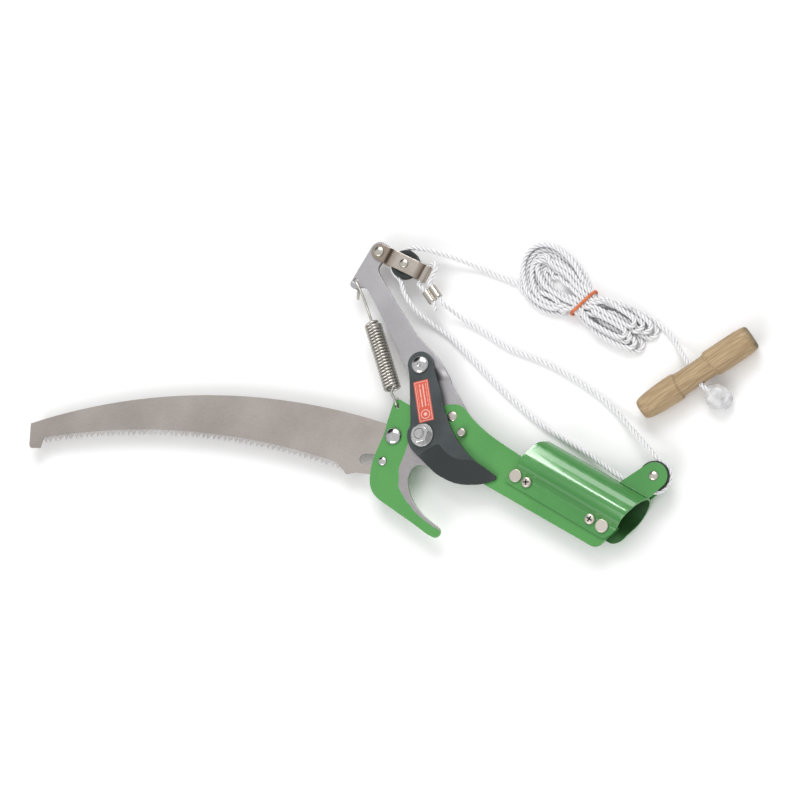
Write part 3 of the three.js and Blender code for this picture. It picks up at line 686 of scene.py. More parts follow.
def make_materials():
    m = {}
    # Green enamel: a little orange peel, slightly uneven colour, dulled where it has been handled.
    # The shell's greens are a darker copy of the plate's: painted shade for the barrel's sloping sides.
    plate_greens, shaded_shell_greens = ((76, 145, 74), (84, 154, 80)), ((66, 136, 66), (74, 146, 72))
    n = Surface("green_enamel_shell")
    n.set(Base_Color=n.tones(22, *shaded_shell_greens, rough=0.55),
          Roughness=n.ramp(n.noise(160), 0.25, 0.8, 0.14, 0.22), Coat_Weight=0.35, Coat_Roughness=0.05)
    m["shell"] = n.bump(n.noise(900, 2, 0.5), 0.03)

    # Head plate: enamel, with the hook's cutting edge ground bare.
    n = Surface("green_enamel_with_ground_edge")
    ragged = n.times(n.minus(n.noise(160, 2, 0.5), 0.5), 1.2)
    bare = n.ramp(n.plus(n.attribute("ground"), ragged), -0.35, 0.35)
    grind = n.noise(14, 4, 0.6, n.stretch((20, 420, 60), math.radians(35)))
    steel = n.mix(n.ramp(grind, 0.2, 0.8), (158, 154, 156), (182, 178, 180))
    n.set(Base_Color=n.mix(bare, n.tones(22, *plate_greens, rough=0.55), steel), Metallic=bare,
          Roughness=n.plus(n.ramp(n.noise(160), 0.25, 0.8, 0.2, 0.32), n.times(bare, 0.16)))
    m["plate"] = n.bump(n.minus(n.times(n.noise(900, 2, 0.5), 0.15), bare), 0.25)

    # Bare and plated metals: bright and dark tone, roughness, and how the marks run.
    for key, name, *look in (
            ("saw", "ground_saw_steel", (196, 189, 184), (164, 156, 151), 0.4, (40, 700, 60), 24, 9),
            ("lever", "satin_lever_steel", (192, 190, 193), (166, 164, 168), 0.38, (30, 500, 60), 137, 9),
            ("spring", "drawn_wire", (214, 211, 204), (168, 164, 156), 0.22),
            ("zinc", "bright_zinc_plate", (214, 209, 200), (172, 166, 158), 0.24),
            ("disc", "dull_rivet_plate", (222, 216, 206), (190, 184, 174), 0.42),
            ("chrome", "polished_plate", (214, 214, 214), (176, 176, 176), 0.12, (60, 60, 60)),
            ("cut", "sheared_steel", (150, 149, 152), (104, 103, 106), 0.22, (80, 80, 80)),
            ("edge", "ground_tooth_steel", (224, 222, 220), (180, 176, 174), 0.3, (80, 80, 80))):
        m[key] = metal(name, *look)

    # Nickel strap: rolled sheet, darker and browner towards its riveted end, with painted shade in its folds.
    n = Surface("nickel_plate")
    rolled = n.noise(10, 4, 0.6, n.stretch((40, 600, 600), BRACKET_TURN))
    tint = n.ramp(n.noise(45, 2, 0.5), 0.35, 0.7)
    # The along value paints shade into the strap's folds, and also browns its riveted end.
    bright = n.mix(n.attribute("along"), (128, 104, 84), (214, 208, 200))
    worn = n.mix(n.ramp(rolled, 0.3, 0.7), (150, 138, 126), bright)
    n.set(Base_Color=n.mix(n.times(tint, 0.45), worn, bright), Metallic=1.0,
          Roughness=n.ramp(rolled, 0.2, 0.8, 0.34, 0.24))
    m["nickel"] = n.bump(rolled, 0.04, 0.00015)

    # Non-stick coating of the cutting blade, finely stippled, darker on the ground bevel.
    n = Surface("dark_blade_coating")
    speck = n.noise(1400, 2)
    bevel = n.ramp(n.attribute("bevel"), -0.3, 0.3)
    n.set(Base_Color=n.mix(bevel, n.tones(40, (56, 62, 64), (70, 76, 78)), (42, 47, 48)), Metallic=0.25,
          Roughness=n.ramp(speck, 0.2, 0.8, 0.42, 0.54))
    m["coating"] = n.bump(speck, 0.12, 0.00012)

    n = Surface("black_nylon")
    grain = n.noise(1100)
    n.set(Base_Color=n.tones(90, (24, 30, 29), (44, 52, 50)), Roughness=n.ramp(grain, 0.2, 0.8, 0.36, 0.5))
    m["nylon"] = n.bump(grain, 0.1, 0.0001)

    # Polypropylene rope: each strand has its own fine fibres, and the grooves between strands are darkened with
    # painted shade.
    n = Surface("white_polypropylene_strands")
    fibre = n.noise(1.0, vector=n.stretch((16, 0.4, 1), 0.0, n.uv("lay")))
    base = n.mix(n.ramp(fibre, 0.32, 0.68), (228, 227, 229), (248, 248, 249))
    n.set(Base_Color=n.mix(n.ramp(n.attribute("groove"), 0.3, 1.0, 0.0, 0.75), base, (150, 149, 155)),
          Roughness=n.ramp(fibre, 0.2, 0.8, 0.46, 0.3), Sheen_Weight=0.15,
          Subsurface_Weight=0.5, Subsurface_Radius=(1, 1, 1), Subsurface_Scale=0.002)
    m["rope"] = n.bump(fibre, 0.5)

    # Where the rope's end was melted: cloudy and waxy.
    n = Surface("melted_rope_end")
    n.set(Base_Color=n.tones(160, (196, 195, 197), (226, 226, 227), 4),
          Roughness=n.ramp(n.noise(500), 0.2, 0.8, 0.28, 0.46),
          Subsurface_Weight=0.3, Subsurface_Radius=(0.002, 0.002, 0.002))
    m["melt"] = n.bump(n.noise(420), 0.3, 0.0004)

    # Turned hardwood: long grain and pores, darker towards the ends, painted shade in the shoulders, and dirt marks.
    n = Surface("turned_wood")
    figure = n.noise(3.2, 5, 0.62, n.stretch((14, 210, 210), TOGGLE_TURN))
    pores = n.noise(1.0, 2, 0.5, n.stretch((90, 1500, 1500), TOGGLE_TURN))
    tone = n.mix(n.ramp(figure, 0.28, 0.72), (152, 126, 92), (190, 165, 129))
    tone = n.mix(n.ramp(pores, 0.62, 0.78, 0.0, 0.45), tone, (120, 90, 58))
    n.set(Base_Color=n.mix(n.attribute("dirt_and_shade"), tone, (96, 84, 58)),
          Roughness=n.ramp(figure, 0.2, 0.8, 0.62, 0.48))
    m["wood"] = n.bump(n.plus(figure, n.times(pores, -0.6)), 0.3, 0.0003)

    n = Surface("stretched_rubber")
    grain = n.noise(700)
    n.set(Base_Color=n.tones(200, (196, 96, 52), (222, 124, 74), 2, 0.5),
          Roughness=n.ramp(grain, 0.2, 0.8, 0.4, 0.58))
    m["band"] = n.bump(grain, 0.15, 0.0001)
    m["label"] = label_material()

    # Inside of the socket: dull enamel, painted dark green as painted shade where little light reaches.
    n = Surface("inner_enamel_painted_shade")
    n.set(Base_Color=n.tones(60, (22, 66, 22), (34, 88, 30)),
          Roughness=n.ramp(n.noise(300), 0.2, 0.8, 0.6, 0.75))
    m["inner"] = n.bump(n.noise(700, 2, 0.5), 0.1)

    # Painted shade inside the screws' cross recesses: dark bars set at the bottom of the cut cross.
    n = Surface("recess_painted_shade")
    n.set(Base_Color=n.mix(n.noise(400, rough=0.5), (30, 28, 26), (58, 54, 50)), Metallic=0.4, Roughness=0.6)
    m["recess"] = n.bump(n.noise(900, 2, 0.5), 0.1, 0.0001)
    return m


def label_material():
    """The sticker: a red field with a pale frame, broken pale rules, a ring and a spot."""
    n = Surface("printed_label")
    art = n.uv("art")                                    # millimetres from the label's middle
    split = n.add("SeparateXYZ", Vector=art)
    x, y = split.outputs[0], split.outputs[1]
    tall = n.size(y)
    rim = n.math("MAXIMUM", n.minus(n.size(x), 15.9), n.minus(tall, 5.2))
    edging = n.ramp(n.size(rim), 0.12, 0.3, 1, 0)
    pitch, shift = 2.7, 10.9
    from_rule = n.size(n.minus(n.math("FLOORED_MODULO", n.plus(y, shift), pitch), pitch / 2))
    rules = n.ramp(from_rule, 0.38, 0.6, 1, 0)
    gaps = n.noise(1.0, 1, 0.5, n.stretch((0.5, 0.37, 1), 0, art))
    for limit in (n.ramp(gaps, 0.36, 0.42), n.ramp(x, -14.2, -13.9), n.ramp(x, 4.6, 4.9, 1, 0),
                  n.ramp(tall, 3.8, 4.0, 1, 0)):
        rules = n.times(rules, limit)
    dx = n.minus(x, 10.9)                                # the ring's middle is to one side
    far = n.math("SQRT", n.plus(n.times(dx, dx), n.times(y, y)))
    ring = n.ramp(n.size(n.minus(far, 3.5)), 0.22, 0.42, 1, 0)
    spot = n.ramp(far, 1.3, 1.6, 1, 0)
    pale = n.math("MINIMUM", n.plus(n.plus(edging, rules), n.plus(ring, spot)), 1.0)
    n.set(Base_Color=n.mix(n.times(pale, 0.8), (206, 84, 64), (240, 196, 182)),
          Roughness=n.ramp(n.noise(600, 2, 0.5), 0.2, 0.8, 0.3, 0.42), Coat_Weight=0.4)
    return n.bump(n.noise(500, 2, 0.5), 0.05, 0.0001)


M = make_materials()


def done(ob, material, body, slot, *nodes):
    """The piece's material, the CAD body it rides on, and the CAD nodes it stands for."""
    if ob.data.materials:
        ob.data.materials[0] = M[material]
    else:
        ob.data.materials.append(M[material])
    if body is not None:
        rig.ride(ob, body)
    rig.replaces(ob, *nodes)
    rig.slot(ob, slot)
    return ob


# ------------------------------------------------------------------ rope

CLIP, CLIP_TURN, CLIP_LOBE = (-58.2, 101.6, -1.5), math.radians(-24), 3.0
TOGGLE_END, TOGGLE_HOLE, TOGGLE_Z = (142.0, 100.4), 49.5, FLOOR + 11.1
BAND, BAND_TURN = (56.0, 153.4), math.radians(-16)
KNOT = (188.6, 137.6, FLOOR + 7.2)


def turned_point(at, turn, x, y, z):
    """A point given along and across a turned piece."""
    c, s = math.cos(turn), math.sin(turn)
    return (at[0] + x * c - y * s, at[1] + x * s + y * c, z)


def clip_point(along, across):
    """A point in the clip, on the rope's run through one of its lobes."""
    return turned_point(CLIP, CLIP_TURN, along, across, CLIP[2])


def toggle_point(out):
    """A point on the axis of the toggle's hole."""
    return turned_point(TOGGLE_END, TOGGLE_TURN, TOGGLE_HOLE, out, TOGGLE_Z)


def round_pulley(at, a0, a1, n=6):
    """The rope's turn round a pulley."""
    return [(x, y, 0.0) for x, y in arc(at[0], at[1], ROPE_TURN, a0, a1, n)]


def world(p):
    """Points in the row frame, in metres."""
    return [(Vector(q) + PIVOT) * MM for q in p]


def declare(ob, p, exit_at, far_end, lay, with_pieces=()):
    points = world(p)
    length = sum((b - a).length for a, b in zip(points, points[1:]))
    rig.cord(ob, exit=tuple((Vector(exit_at) + PIVOT) * MM), length=round(length, 3), diameter=ROPE * MM,
            far_end=far_end, stiffness="limp", lay=lay, path=points, with_pieces=list(with_pieces))


# From its end in the clip through the strap's eye, back through the clip, along the ground to the lower
# pulley, round it, and back along the ground to the upper pulley.
PULL = ([(-49.6, 91.2, -3.0), clip_point(7.4, -CLIP_LOBE), clip_point(0, -CLIP_LOBE),
         clip_point(-8, -CLIP_LOBE), (-72.4, 103.8, -0.6), (-72.8, 108, 0), (-72.7, 113.2, 0),
         (-72.9, 119.6, 0), (-71, 124, 0), (-67, 121.6, -0.2), (-66.4, 113.6, -1),
         clip_point(-8, CLIP_LOBE), clip_point(0, CLIP_LOBE), clip_point(7.6, CLIP_LOBE),
         clip_point(12, CLIP_LOBE), (-37, 98.2, -7), (-26, 96.7, -11.2), (-16, 96.2, -12.7),
         (-6, 95.6, ROPE_Z), (17.5, 94.1, ROPE_Z), (51.2, 97.8, ROPE_Z), (76, 98, ROPE_Z),
         (105, 95.2, ROPE_Z), (117, 92.8, -12.7), (128, 89.8, -11.4), (146, 84, -7), (163, 78.6, -2.6),
         (174.6, 74.4, 0)]
        + round_pulley(LOWER_PULLEY, 84, -90)
        + [(171, 49.3, -0.1), (158.2, 48.9, -0.6), (148, 49.4, -2.6), (136, 50.8, -6.4), (119.6, 52.2, -11.2),
           (108, 52.5, -12.7), (96, 52.9, ROPE_Z), (76.9, 53.8, ROPE_Z), (38.2, 60.9, ROPE_Z),
           (5, 69.7, ROPE_Z), (-28.7, 78.7, ROPE_Z), (-40, 80.4, -12.9), (-52, 81.8, -11.4),
           (-68, 84.8, -7.4), (-82, 92.4, -2.6), (-88.2, 99.0, -0.4)]
        + round_pulley(UPPER_PULLEY, 248, 205, 3))
# Over the upper pulley and down to the hank on the ground.
LEAD = (round_pulley(UPPER_PULLEY, 205, 136, 4)
        + [(-94.4, 127, 0), (-85.6, 130.6, -1), (-68, 135, -5), (-46.9, 138.5, -10), (-34, 139.8, -12.7),
           (-24, 140.6, ROPE_Z), (-10, 142.2, ROPE_Z), (3, 143.6, ROPE_Z)])
# The hank's broad end: the outermost line round it, and its middle.
LOBE = [(47, 168.6), (37, 175.8), (22, 182.2), (6.5, 183.2), (-6.4, 176), (-9.2, 162), (-3, 149), (9, 138.4),
        (20, 133.8), (33, 134.4), (45.5, 141.6)]
LOBE_MIDDLE = (20, 158.5)
# The hank's loops in the order they were wound: inset in the lobe, layer there, drift of the loop, place
# across the band, layer there, and the fold at the other end: bunch middle, half width, reach and layer.
LOOPS = [(0.0, 0, (0, 0), 9.4, 0, 143.6, 5.2, 114.5, 0), (2.4, 1, (-1, 1), 9.2, 1, 158.2, 5.2, 119.0, 0),
         (4.3, 0, (0, 0), 5.7, 0, 142.8, 5.0, 109.0, 1), (8.6, 0, (0, 0), 2.2, 0, 159.2, 4.8, 113.8, 1),
         (9.4, 1, (2.5, -3), 8.8, 2, 145.4, 4.8, 103.5, 1), (12.9, 0, (0, 0), 5.4, 1, 157.0, 4.8, 108.4, 1),
         (17.0, 0, (0.5, 0), 2.0, 1, 146.2, 4.2, 99.5, 2), (15.4, 1, (-2, 2), 5.2, 2, 156.6, 4.2, 101.5, 2),
         (20.6, 0, (1, -0.5), 1.8, 2, 162.6, 3.0, 113.0, 2)]


def hank_line():
    """Nine long loops laid on each other: round a broad lobe, through the band, and into two bunches."""
    layers = [ROPE_Z, ROPE_Z + 3.8, ROPE_Z + 7.4]
    line = [(3, 143.6, layers[0]), (12, 143.0, layers[0]), (28, 146.4, layers[1])]
    centre = Vector(LOBE_MIDDLE)
    for i, (inset, layer, drift, across, level, middle, half, reach, fold) in enumerate(LOOPS):
        for x, y in reversed(LOBE):
            p = Vector((x, y)) - centre
            p *= max(0.14, 1 - inset / p.length * (0.7 if x > 34 else 1.0))
            line.append((centre.x + p.x + drift[0], centre.y + p.y + drift[1], layers[layer]))
        line.append(turned_point(BAND, BAND_TURN, -5, across, layers[level]))
        line.append(turned_point(BAND, BAND_TURN, 4, across * 0.95, layers[level]))
        z = layers[fold]
        if i == len(LOOPS) - 1:
            break
        fold_line = ((34, 1.1), (16, 1.15), (5, 1.0), (0, 0.55))     # way back from the fold, spread
        for back, spread in fold_line:
            line.append((reach - back, middle + half * spread + back * 0.03, z))
        for back, spread in reversed(fold_line):
            line.append((reach - back, middle - half * spread + back * 0.03, z))
        across, level = LOOPS[i + 1][3], LOOPS[i + 1][4]
        line.append(turned_point(BAND, BAND_TURN, 4, -across * 0.95, layers[level]))
        line.append(turned_point(BAND, BAND_TURN, -5, -across, layers[level]))
    return line


# From the band down beside the upper bunch, along the ground and through the toggle to the knot.
TAIL = [(74, 163.2, ROPE_Z + 7.0), (90, 166.0, ROPE_Z + 4.6), (104, 167.2, ROPE_Z + 1.0),
        (117, 166.0, ROPE_Z), (128.3, 163.2, ROPE_Z), (139, 158.4, -11.8), (148.6, 153.2, -6.4),
        toggle_point(10), toggle_point(0), toggle_point(-10), (177.6, 138.8, -5.4), (182, 138.4, -7)]


def relax(p, fixed, rounds, gap=3.85):
    """Loosely packs a long rope: keeps its lengths, and pushes its runs off each other and the ground."""
    p = np.array(p, float)
    n = len(p)
    rest = np.linalg.norm(np.diff(p, axis=0), axis=1).mean()
    home = p.copy()
    apart = max(4, int(math.ceil(2.2 * gap / rest)))
    index = np.arange(n)
    far = np.abs(index[:, None] - index[None]) > apart
    free = np.ones((n, 1))
    free[fixed] = 0
    # The bundle is two ropes deep in the lobe and three deep from the band on.
    roof = FLOOR + 7.0 + 3.2 * np.clip((home[:, 0] - 38) / 12, 0, 1)
    for _ in range(rounds):
        d = p[:, None] - p[None]
        gone = np.linalg.norm(d, axis=2) + 1e-6
        close = far & (gone < gap)
        push = (d / gone[..., None] * ((gap - gone) * close)[..., None])
        count = np.maximum(close.sum(1), 1)[:, None]
        p += free * push.sum(1) / count * 0.45
        p[1:-1] += free[1:-1] * ((p[:-2] + p[2:]) / 2 - p[1:-1]) * 0.16
        for _ in range(3):
            e = np.diff(p, axis=0)
            size = np.linalg.norm(e, axis=1)[:, None] + 1e-9
            fix = e * (1 - rest / size) * 0.5
            p[:-1] += free[:-1] * fix
            p[1:] -= free[1:] * fix
        p += free * (home - p) * 0.03
        p[:, 2] = np.where(free[:, 0] > 0, np.clip(p[:, 2], ROPE_Z, roof), p[:, 2])
    return p


def make_ropes():
    """The one rope, as four cords that meet where a moving part takes hold of it."""
    whole = route(PULL, ROPE_STEP)
    # The loop swings with the bracket, so it is parted from the rest inside the clip.
    inside_clip = [math.dist(q, clip_point(0, CLIP_LOBE)) for q in whole]
    part = inside_clip.index(min(inside_clip))
    loop, pull = whole[:part + 1], whole[part:]
    ob = rope("rope_loop_through_eye", loop, 0.4)
    done(ob, "rope", "bracket", "white_rope", "rope_loop")
    declare(ob, loop, loop[0], "object", "loose", [rope_clip()])

    ob = rope("rope_pull", pull, 0.4)
    start, end = world([(-45, 95, 0), (150, 80, 0)])
    done(ob, "rope", None, "white_rope", "rope_haul", "rope_turn_lower", "rope_return", "rope_turn_upper")
    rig.blend(ob, "lever", "head", start, end)
    declare(ob, pull, pull[0], "object", "loose")

    lead = route(LEAD, ROPE_STEP)
    ob = rope("rope_lead_run", lead, 1.1)
    start, end = world([(-96, 124, 0), (-8, 142, 0)])
    done(ob, "rope", None, "white_rope", "rope_lead")
    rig.blend(ob, "lever", "head", start, end)
    declare(ob, lead, LEAD[0], "object", "loose")

    rough = route(hank_line(), 2.6)
    hank = relax(rough, [0, 1, 2], 40 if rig.quick() else 150)
    whole = route([tuple(q) for q in hank] + TAIL, ROPE_STEP)
    ob = rope("rope_hank_and_tail", whole, 2.0)
    band, toggle, knot = rubber_band(), toggle_handle(), melted_knot()
    done(ob, "rope", "head", "white_rope", "rope_hank", "rope_tail")
    declare(ob, whole, whole[0], "knot", "coiled", [band, toggle, knot])


def rope_clip():
    """Two lobes of folded plated sheet, pinched on the two runs of the rope."""
    lobe, bore, out, pinch, half = CLIP_LOBE, 2.25, 3.5, 1.75, 5.5
    outline = (arc(lobe, 0, out, -118, 118, 20) + [(0.0, pinch)]
               + arc(-lobe, 0, out, 62, 298, 20) + [(0.0, -pinch)])
    bm = slab(outline, [circle((lobe, 0), bore, 28), circle((-lobe, 0), bore, 28)], -half, half)
    place = (Matrix.Translation(CLIP) @ Matrix.Rotation(CLIP_TURN + math.pi / 2, 4, "Z")
             @ Matrix.Rotation(math.pi / 2, 4, "X"))
    return done(to_object("clip", bm, place=place), "zinc", "bracket", "nickel", "rope_clip")


def rubber_band():
    """A stretched band, round in section, in a flat oval round the bundle."""
    low, high, half = FLOOR + 0.7, FLOOR + 12.9, 13.2
    middle, rise = (low + high) / 2, (high - low) / 2
    loop = []
    for k in range(72):
        a = 2 * math.pi * k / 72
        c, s = math.cos(a), math.sin(a)
        x = math.copysign(abs(c) ** 0.55, c) * half
        z = middle + math.copysign(abs(s) ** 0.7, s) * rise
        lean = 1.4 * math.sin(a + 0.6)
        loop.append(turned_point(BAND, BAND_TURN, lean, x, z))
    loop = np.array(loop + loop[:1])
    ring = np.array(circle((0, 0), 1, 12)) * (0.75, 1.25)
    ob = sweep("band", loop, lambda i: ring, cap=False)
    return done(ob, "band", "head", "band_rubber", "hank_band")


def toggle_handle():
    """A turned wooden toggle: a tapered end, a waist with slanted shoulders, and a hole through the waist."""
    p = [(0, 0.3), (4.5, 0), (7.3, 0.8), (8.6, 3.2), (9.5, 8), (10.2, 16), (10.6, 26), (10.55, 33.6),
         (10.2, 34.4), (9.35, 35.2), (9.05, 40), (9.0, 50), (9.1, 58), (9.35, 62.6), (10.5, 64.0),
         (10.85, 65.2), (10.95, 78), (10.8, 90), (10.4, 96), (9.6, 99.4), (8.3, 100.8), (4.5, 101),
         (0, 100.8)]
    n = 56
    prof = even(p, 1.3)
    bm = bmesh.new()
    dirt_and_shade = bm.verts.layers.float.new("dirt_and_shade")
    rings = []
    for r, x in prof:
        ring = []
        if r < 1e-6:
            v = bm.verts.new((0, 0, x))
            v[dirt_and_shade] = 0.7
            rings.append([v])
            continue
        for k in range(n):
            a = 2 * math.pi * k / n
            # The waist's shoulders were cut on a slant, and the turning is a little uneven.
            lean = (1.1 * math.cos(a - 0.9) * math.exp(-((x - 35) / 5) ** 2)
                    + 1.3 * math.cos(a + 1.2) * math.exp(-((x - 63.5) / 5) ** 2))
            wobble = 1 + 0.012 * noise.noise(Vector((math.cos(a) * 2, math.sin(a) * 2, x * 0.07)))
            v = bm.verts.new((r * wobble * math.cos(a), r * wobble * math.sin(a), x + lean))
            # The mask darkens the wood towards both ends, paints shade into the shoulders' creases, and adds dirt
            # marks.
            end = max(0.0, 1 - (101 - x) / 5.0)
            near = max(0.0, 1 - x / 3.0)
            mark = max(0.0, noise.noise(Vector((math.cos(a) * 1.6, math.sin(a) * 1.6, x * 0.35))))
            v[dirt_and_shade] = min(1.0, 0.85 * end ** 1.5 + 0.3 * near + end * mark * 1.5
                          + 0.5 * math.exp(-((x - 35.2 - lean) / 0.7) ** 2) * (0.4 + mark)
                          + 0.4 * math.exp(-((x - 63.4 - lean) / 0.7) ** 2) * (0.4 + mark))
            ring.append(v)
        rings.append(ring)
    skin(bm, rings)
    place = (Matrix.Translation((*TOGGLE_END, TOGGLE_Z)) @ Matrix.Rotation(TOGGLE_TURN, 4, "Z")
             @ Matrix.Rotation(math.pi / 2, 4, "Y"))
    ob = to_object("toggle", bm, angle=50, weighted=False, place=place)
    drill(ob, Matrix.Translation(turned_point(TOGGLE_END, TOGGLE_TURN, TOGGLE_HOLE, 0, TOGGLE_Z))
          @ Matrix.Rotation(TOGGLE_TURN, 4, "Z") @ Matrix.Rotation(math.pi / 2, 4, "X"), 2.7, 40)
    return done(ob, "wood", "head", "toggle_wood", "toggle_handle")


def drill(ob, place, radius, length, sides=32):
    """Cuts a round hole through the piece."""
    bm = bmesh.new()
    bmesh.ops.create_cone(bm, cap_ends=True, segments=sides, radius1=radius, radius2=radius, depth=length,
                          matrix=place)
    cut_with(ob, bm)


def cut_with(ob, bm):
    """Cuts the bmesh's shape out of the piece."""
    tool = to_object("tool", bm, weighted=False)
    m = ob.modifiers.new("cut", "BOOLEAN")
    m.operation = "DIFFERENCE"
    m.solver = "EXACT"
    m.object = tool
    kept = [x for x in ob.modifiers if x.type == "WEIGHTED_NORMAL"]
    for x in kept:
        ob.modifiers.remove(x)
    made = applied(ob)
    ob.modifiers.clear()
    ob.data = made
    bpy.data.objects.remove(tool)
    made.set_sharp_from_angle(angle=math.radians(38))
    if kept:
        ob.modifiers.new("normals", "WEIGHTED_NORMAL").keep_sharp = True


def melted_knot():
    """The rope's melted end: a lumpy club on a short stem beside the toggle."""
    bm = bmesh.new()
    bmesh.ops.create_icosphere(bm, subdivisions=5, radius=1)
    stem = Vector(toggle_point(-10)) - Vector(KNOT)
    way = Vector((stem.x, stem.y, 0)).normalized()
    for v in bm.verts:
        d = v.co.normalized()
        lump = 1 + 0.24 * noise.noise(d * 1.9 + Vector((3, 1, 7))) + 0.09 * noise.noise(d * 4.5)
        p = Vector((d.x * 10.4, d.y * 9.4, d.z * 6.6)) * lump
        # Draw the side that faces the toggle out into the stem.
        pull = max(0.0, d.dot(way)) ** 7
        along = p.project(way)
        neck = along + (p - along) * (1 - 0.45 * pull)
        v.co = neck.lerp(stem * 0.92 + (p - along) * 0.28, min(1.0, pull * 1.05))
        v.co += Vector(KNOT)
        v.co.z = max(v.co.z, FLOOR + 0.3)
    ob = to_object("melted_end", bm, angle=180, weighted=False)
    return done(ob, "melt", "head", "melted_rope", "rope_knot")


make_ropes()


# ------------------------------------------------------------------ head plate and saw

def head_plate():
    """The stamped plate: spring ear, flat tongue in the socket, and a hook with a ground throat."""
    fold = SOCKET_Y - SOCKET_RADIUS + SHEET - GAP - 1

    def end_x(y):
        return SOCKET_END + SLANT * y

    outline = (arc(EAR_HOLE[0] + 0.4, EAR_HOLE[1] + 0.9, 4.9, 185, 75, 16) + [(-25, 15.6), (0, 28.2)]
               + smooth([(6.5, 33), (12.5, 35.4), (19, 34.6), (28, 31.2), (44, 27.6), (61, 25.9),
                         (78, 24.9)], 60)
               + [(SOCKET_START + 8, 23), (SOCKET_START + 11, fold), (end_x(fold), fold)]
               + arc(end_x(-1) - 7.6, -0.4, 6.9, -10, -90, 14) + [(62, -8.6)]
               + smooth([(42, -10.6), (27, -14.2), (16.7, -18.9), (10.6, -20.4), (6.2, -23.8), (4.7, -28.6),
                         (5.7, -34.4), (9, -39.9), (15, -45.6), (24, -50.6), (35, -53.8), (48.5, -55.3)], 110)
               + arc(48.2, -60, 4.6, 75, -80, 16)
               + smooth([(43.6, -64.8), (27, -63.4), (8, -62.3), (-9.6, -60.9), (-19, -55.9), (-25, -46.6),
                         (-29, -34.4), (-31.6, -15), (-34.4, -5.4)], 80))
    holes = [circle((0, 0), PIVOT_HOLE), circle(SAW_BOLT, BOLT_HOLE), circle(SAW_PIN, PIN_HOLE),
             circle(EAR_HOLE, WIRE_HOLE), circle(PLATE_RIVET, RIVET_HOLE), circle(STOP_PIN, RIVET_HOLE)]
    bm = slab(outline, holes, BACK, FRONT)
    cuts(bm, (1, 0, 0), np.arange(-36, 53, 1.0))
    cuts(bm, (0, 1, 0), np.arange(-66, -5, 1.0))
    # The hook's cutting edge is ground bare in a strip along the throat.
    strip = smooth([(-13.2, -2.0), (-9.1, -11.9), (-7.1, -20.9), (-5.3, -30.9), (-2.5, -36.7), (2.6, -44),
                    (8.4, -48.1), (16.7, -51.7), (26.9, -55.1), (37.3, -56.6), (49.4, -57.2)], 60)
    strip += [(60, -57.2), (60, -40), (22, -24), (14, 8), (-13.2, 8)]
    points = [(v.co.x, v.co.y) for v in bm.verts]
    ground = np.clip(signed(points, strip), -3, 3)
    layer = bm.verts.layers.float.new("ground")
    for v, g in zip(bm.verts, ground):
        v[layer] = float(g) if v.co.z > BACK + 0.35 else -3.0
    return done(to_object("head_plate_piece", bm), "plate", "head", "green_paint", "head_plate")


def saw_blade():
    """A thin curved blade with a slot in its heel, and a row of pull teeth in pairs along its inner edge."""
    line = even(bow((-311.8, -168.7), (-51.8, -52.9), 16.2, 240), 0.5)
    length = np.linalg.norm(np.diff(line, axis=0), axis=1).sum()
    pairs = int(length // TOOTH_PAIR)
    way = np.gradient(line, axis=0)
    way /= np.linalg.norm(way, axis=1)[:, None]

    def at(share):
        k = share / pairs * (len(line) - 1)
        i = min(int(k), len(line) - 2)
        return line[i] * (1 - k + i) + line[i + 1] * (k - i), way[i]

    feet = [i + f for i in range(pairs) for f in (0.04, 0.44)]
    roots = [tuple(at(s)[0]) for s in feet]
    body = ([(-309.4, -177.2)] + roots + arc(-45, -55.6, 2.3, 215, 320, 8)
            + [(-38, -53), (-26, -48.2), (-15.2, -42.6), (-16.2, -12)] + arc(-20.6, -8.6, 3.6, 0, 100, 8)
            + bow((-330.4, -164), (-37.9, -7.2), 24, 90)[::-1] + arc(-317.4, -177.4, 4.2, 215, 270, 8))
    slant, reach, half = 28.5, 7.5, 4
    x, y = -37, -40
    a = math.radians(slant)
    slot = (arc(x, y, half, slant + 90, slant + 270, 14)
            + arc(x + reach * math.cos(a), y + reach * math.sin(a), half, slant - 90, slant + 90, 14))
    holes = [circle(SAW_BOLT, BOLT_HOLE), circle(SAW_PIN, PIN_HOLE), slot]
    bm = slab(body, holes, SAW_TOP - SAW, SAW_TOP, 0.18, 1)
    done(to_object("saw_blade_piece", bm), "saw", "head", "saw_steel", "saw_blade")

    # Teeth: thin points set a little to either side, ground on both flanks.
    bm = bmesh.new()
    middle = SAW_TOP - SAW / 2
    feet.append(pairs)
    for i in range(len(feet) - 1):
        tip_share = math.floor(feet[i]) + (0.66 if i % 2 else 0.22)
        p0, p1 = Vector(at(feet[i])[0]), Vector(at(min(feet[i + 1], pairs - 0.001))[0])
        q, t = at(tip_share)
        out = Vector((t[1], -t[0]))
        tip = Vector(q) + out * TOOTH_DEPTH
        lean = 0.18 if i % 2 else -0.18
        base = [(p0 - out * 0.5).to_3d(), (p1 - out * 0.5).to_3d()]
        mid = [p0.lerp(tip, 0.42).to_3d(), p1.lerp(tip, 0.42).to_3d()]
        rows = []
        for points, half, shift in ((base, SAW / 2 - 0.06, 0.0), (mid, SAW / 2 - 0.1, 0.4 * lean)):
            rows.append([[bm.verts.new((p.x, p.y, middle + shift + s * half)) for s in (-1, 1)]
                         for p in points])
        ends = [bm.verts.new((tip.x, tip.y, middle + lean + s * 0.14)) for s in (-1, 1)]
        (a0, a1), (b0, b1) = rows
        for k in (0, 1):
            bm.faces.new((a0[k], a1[k], b1[k], b0[k]))
            bm.faces.new((b0[k], b1[k], ends[k]))
        for low, high in ((a0, b0), (a1, b1), (b0, ends), (b1, ends), (a0, a1)):
            bm.faces.new((low[0], low[1], high[1], high[0]))
    done(to_object("saw_teeth", bm, angle=12, weighted=False), "edge", "head", "saw_steel", "saw_blade")


# ------------------------------------------------------------------ fastenings

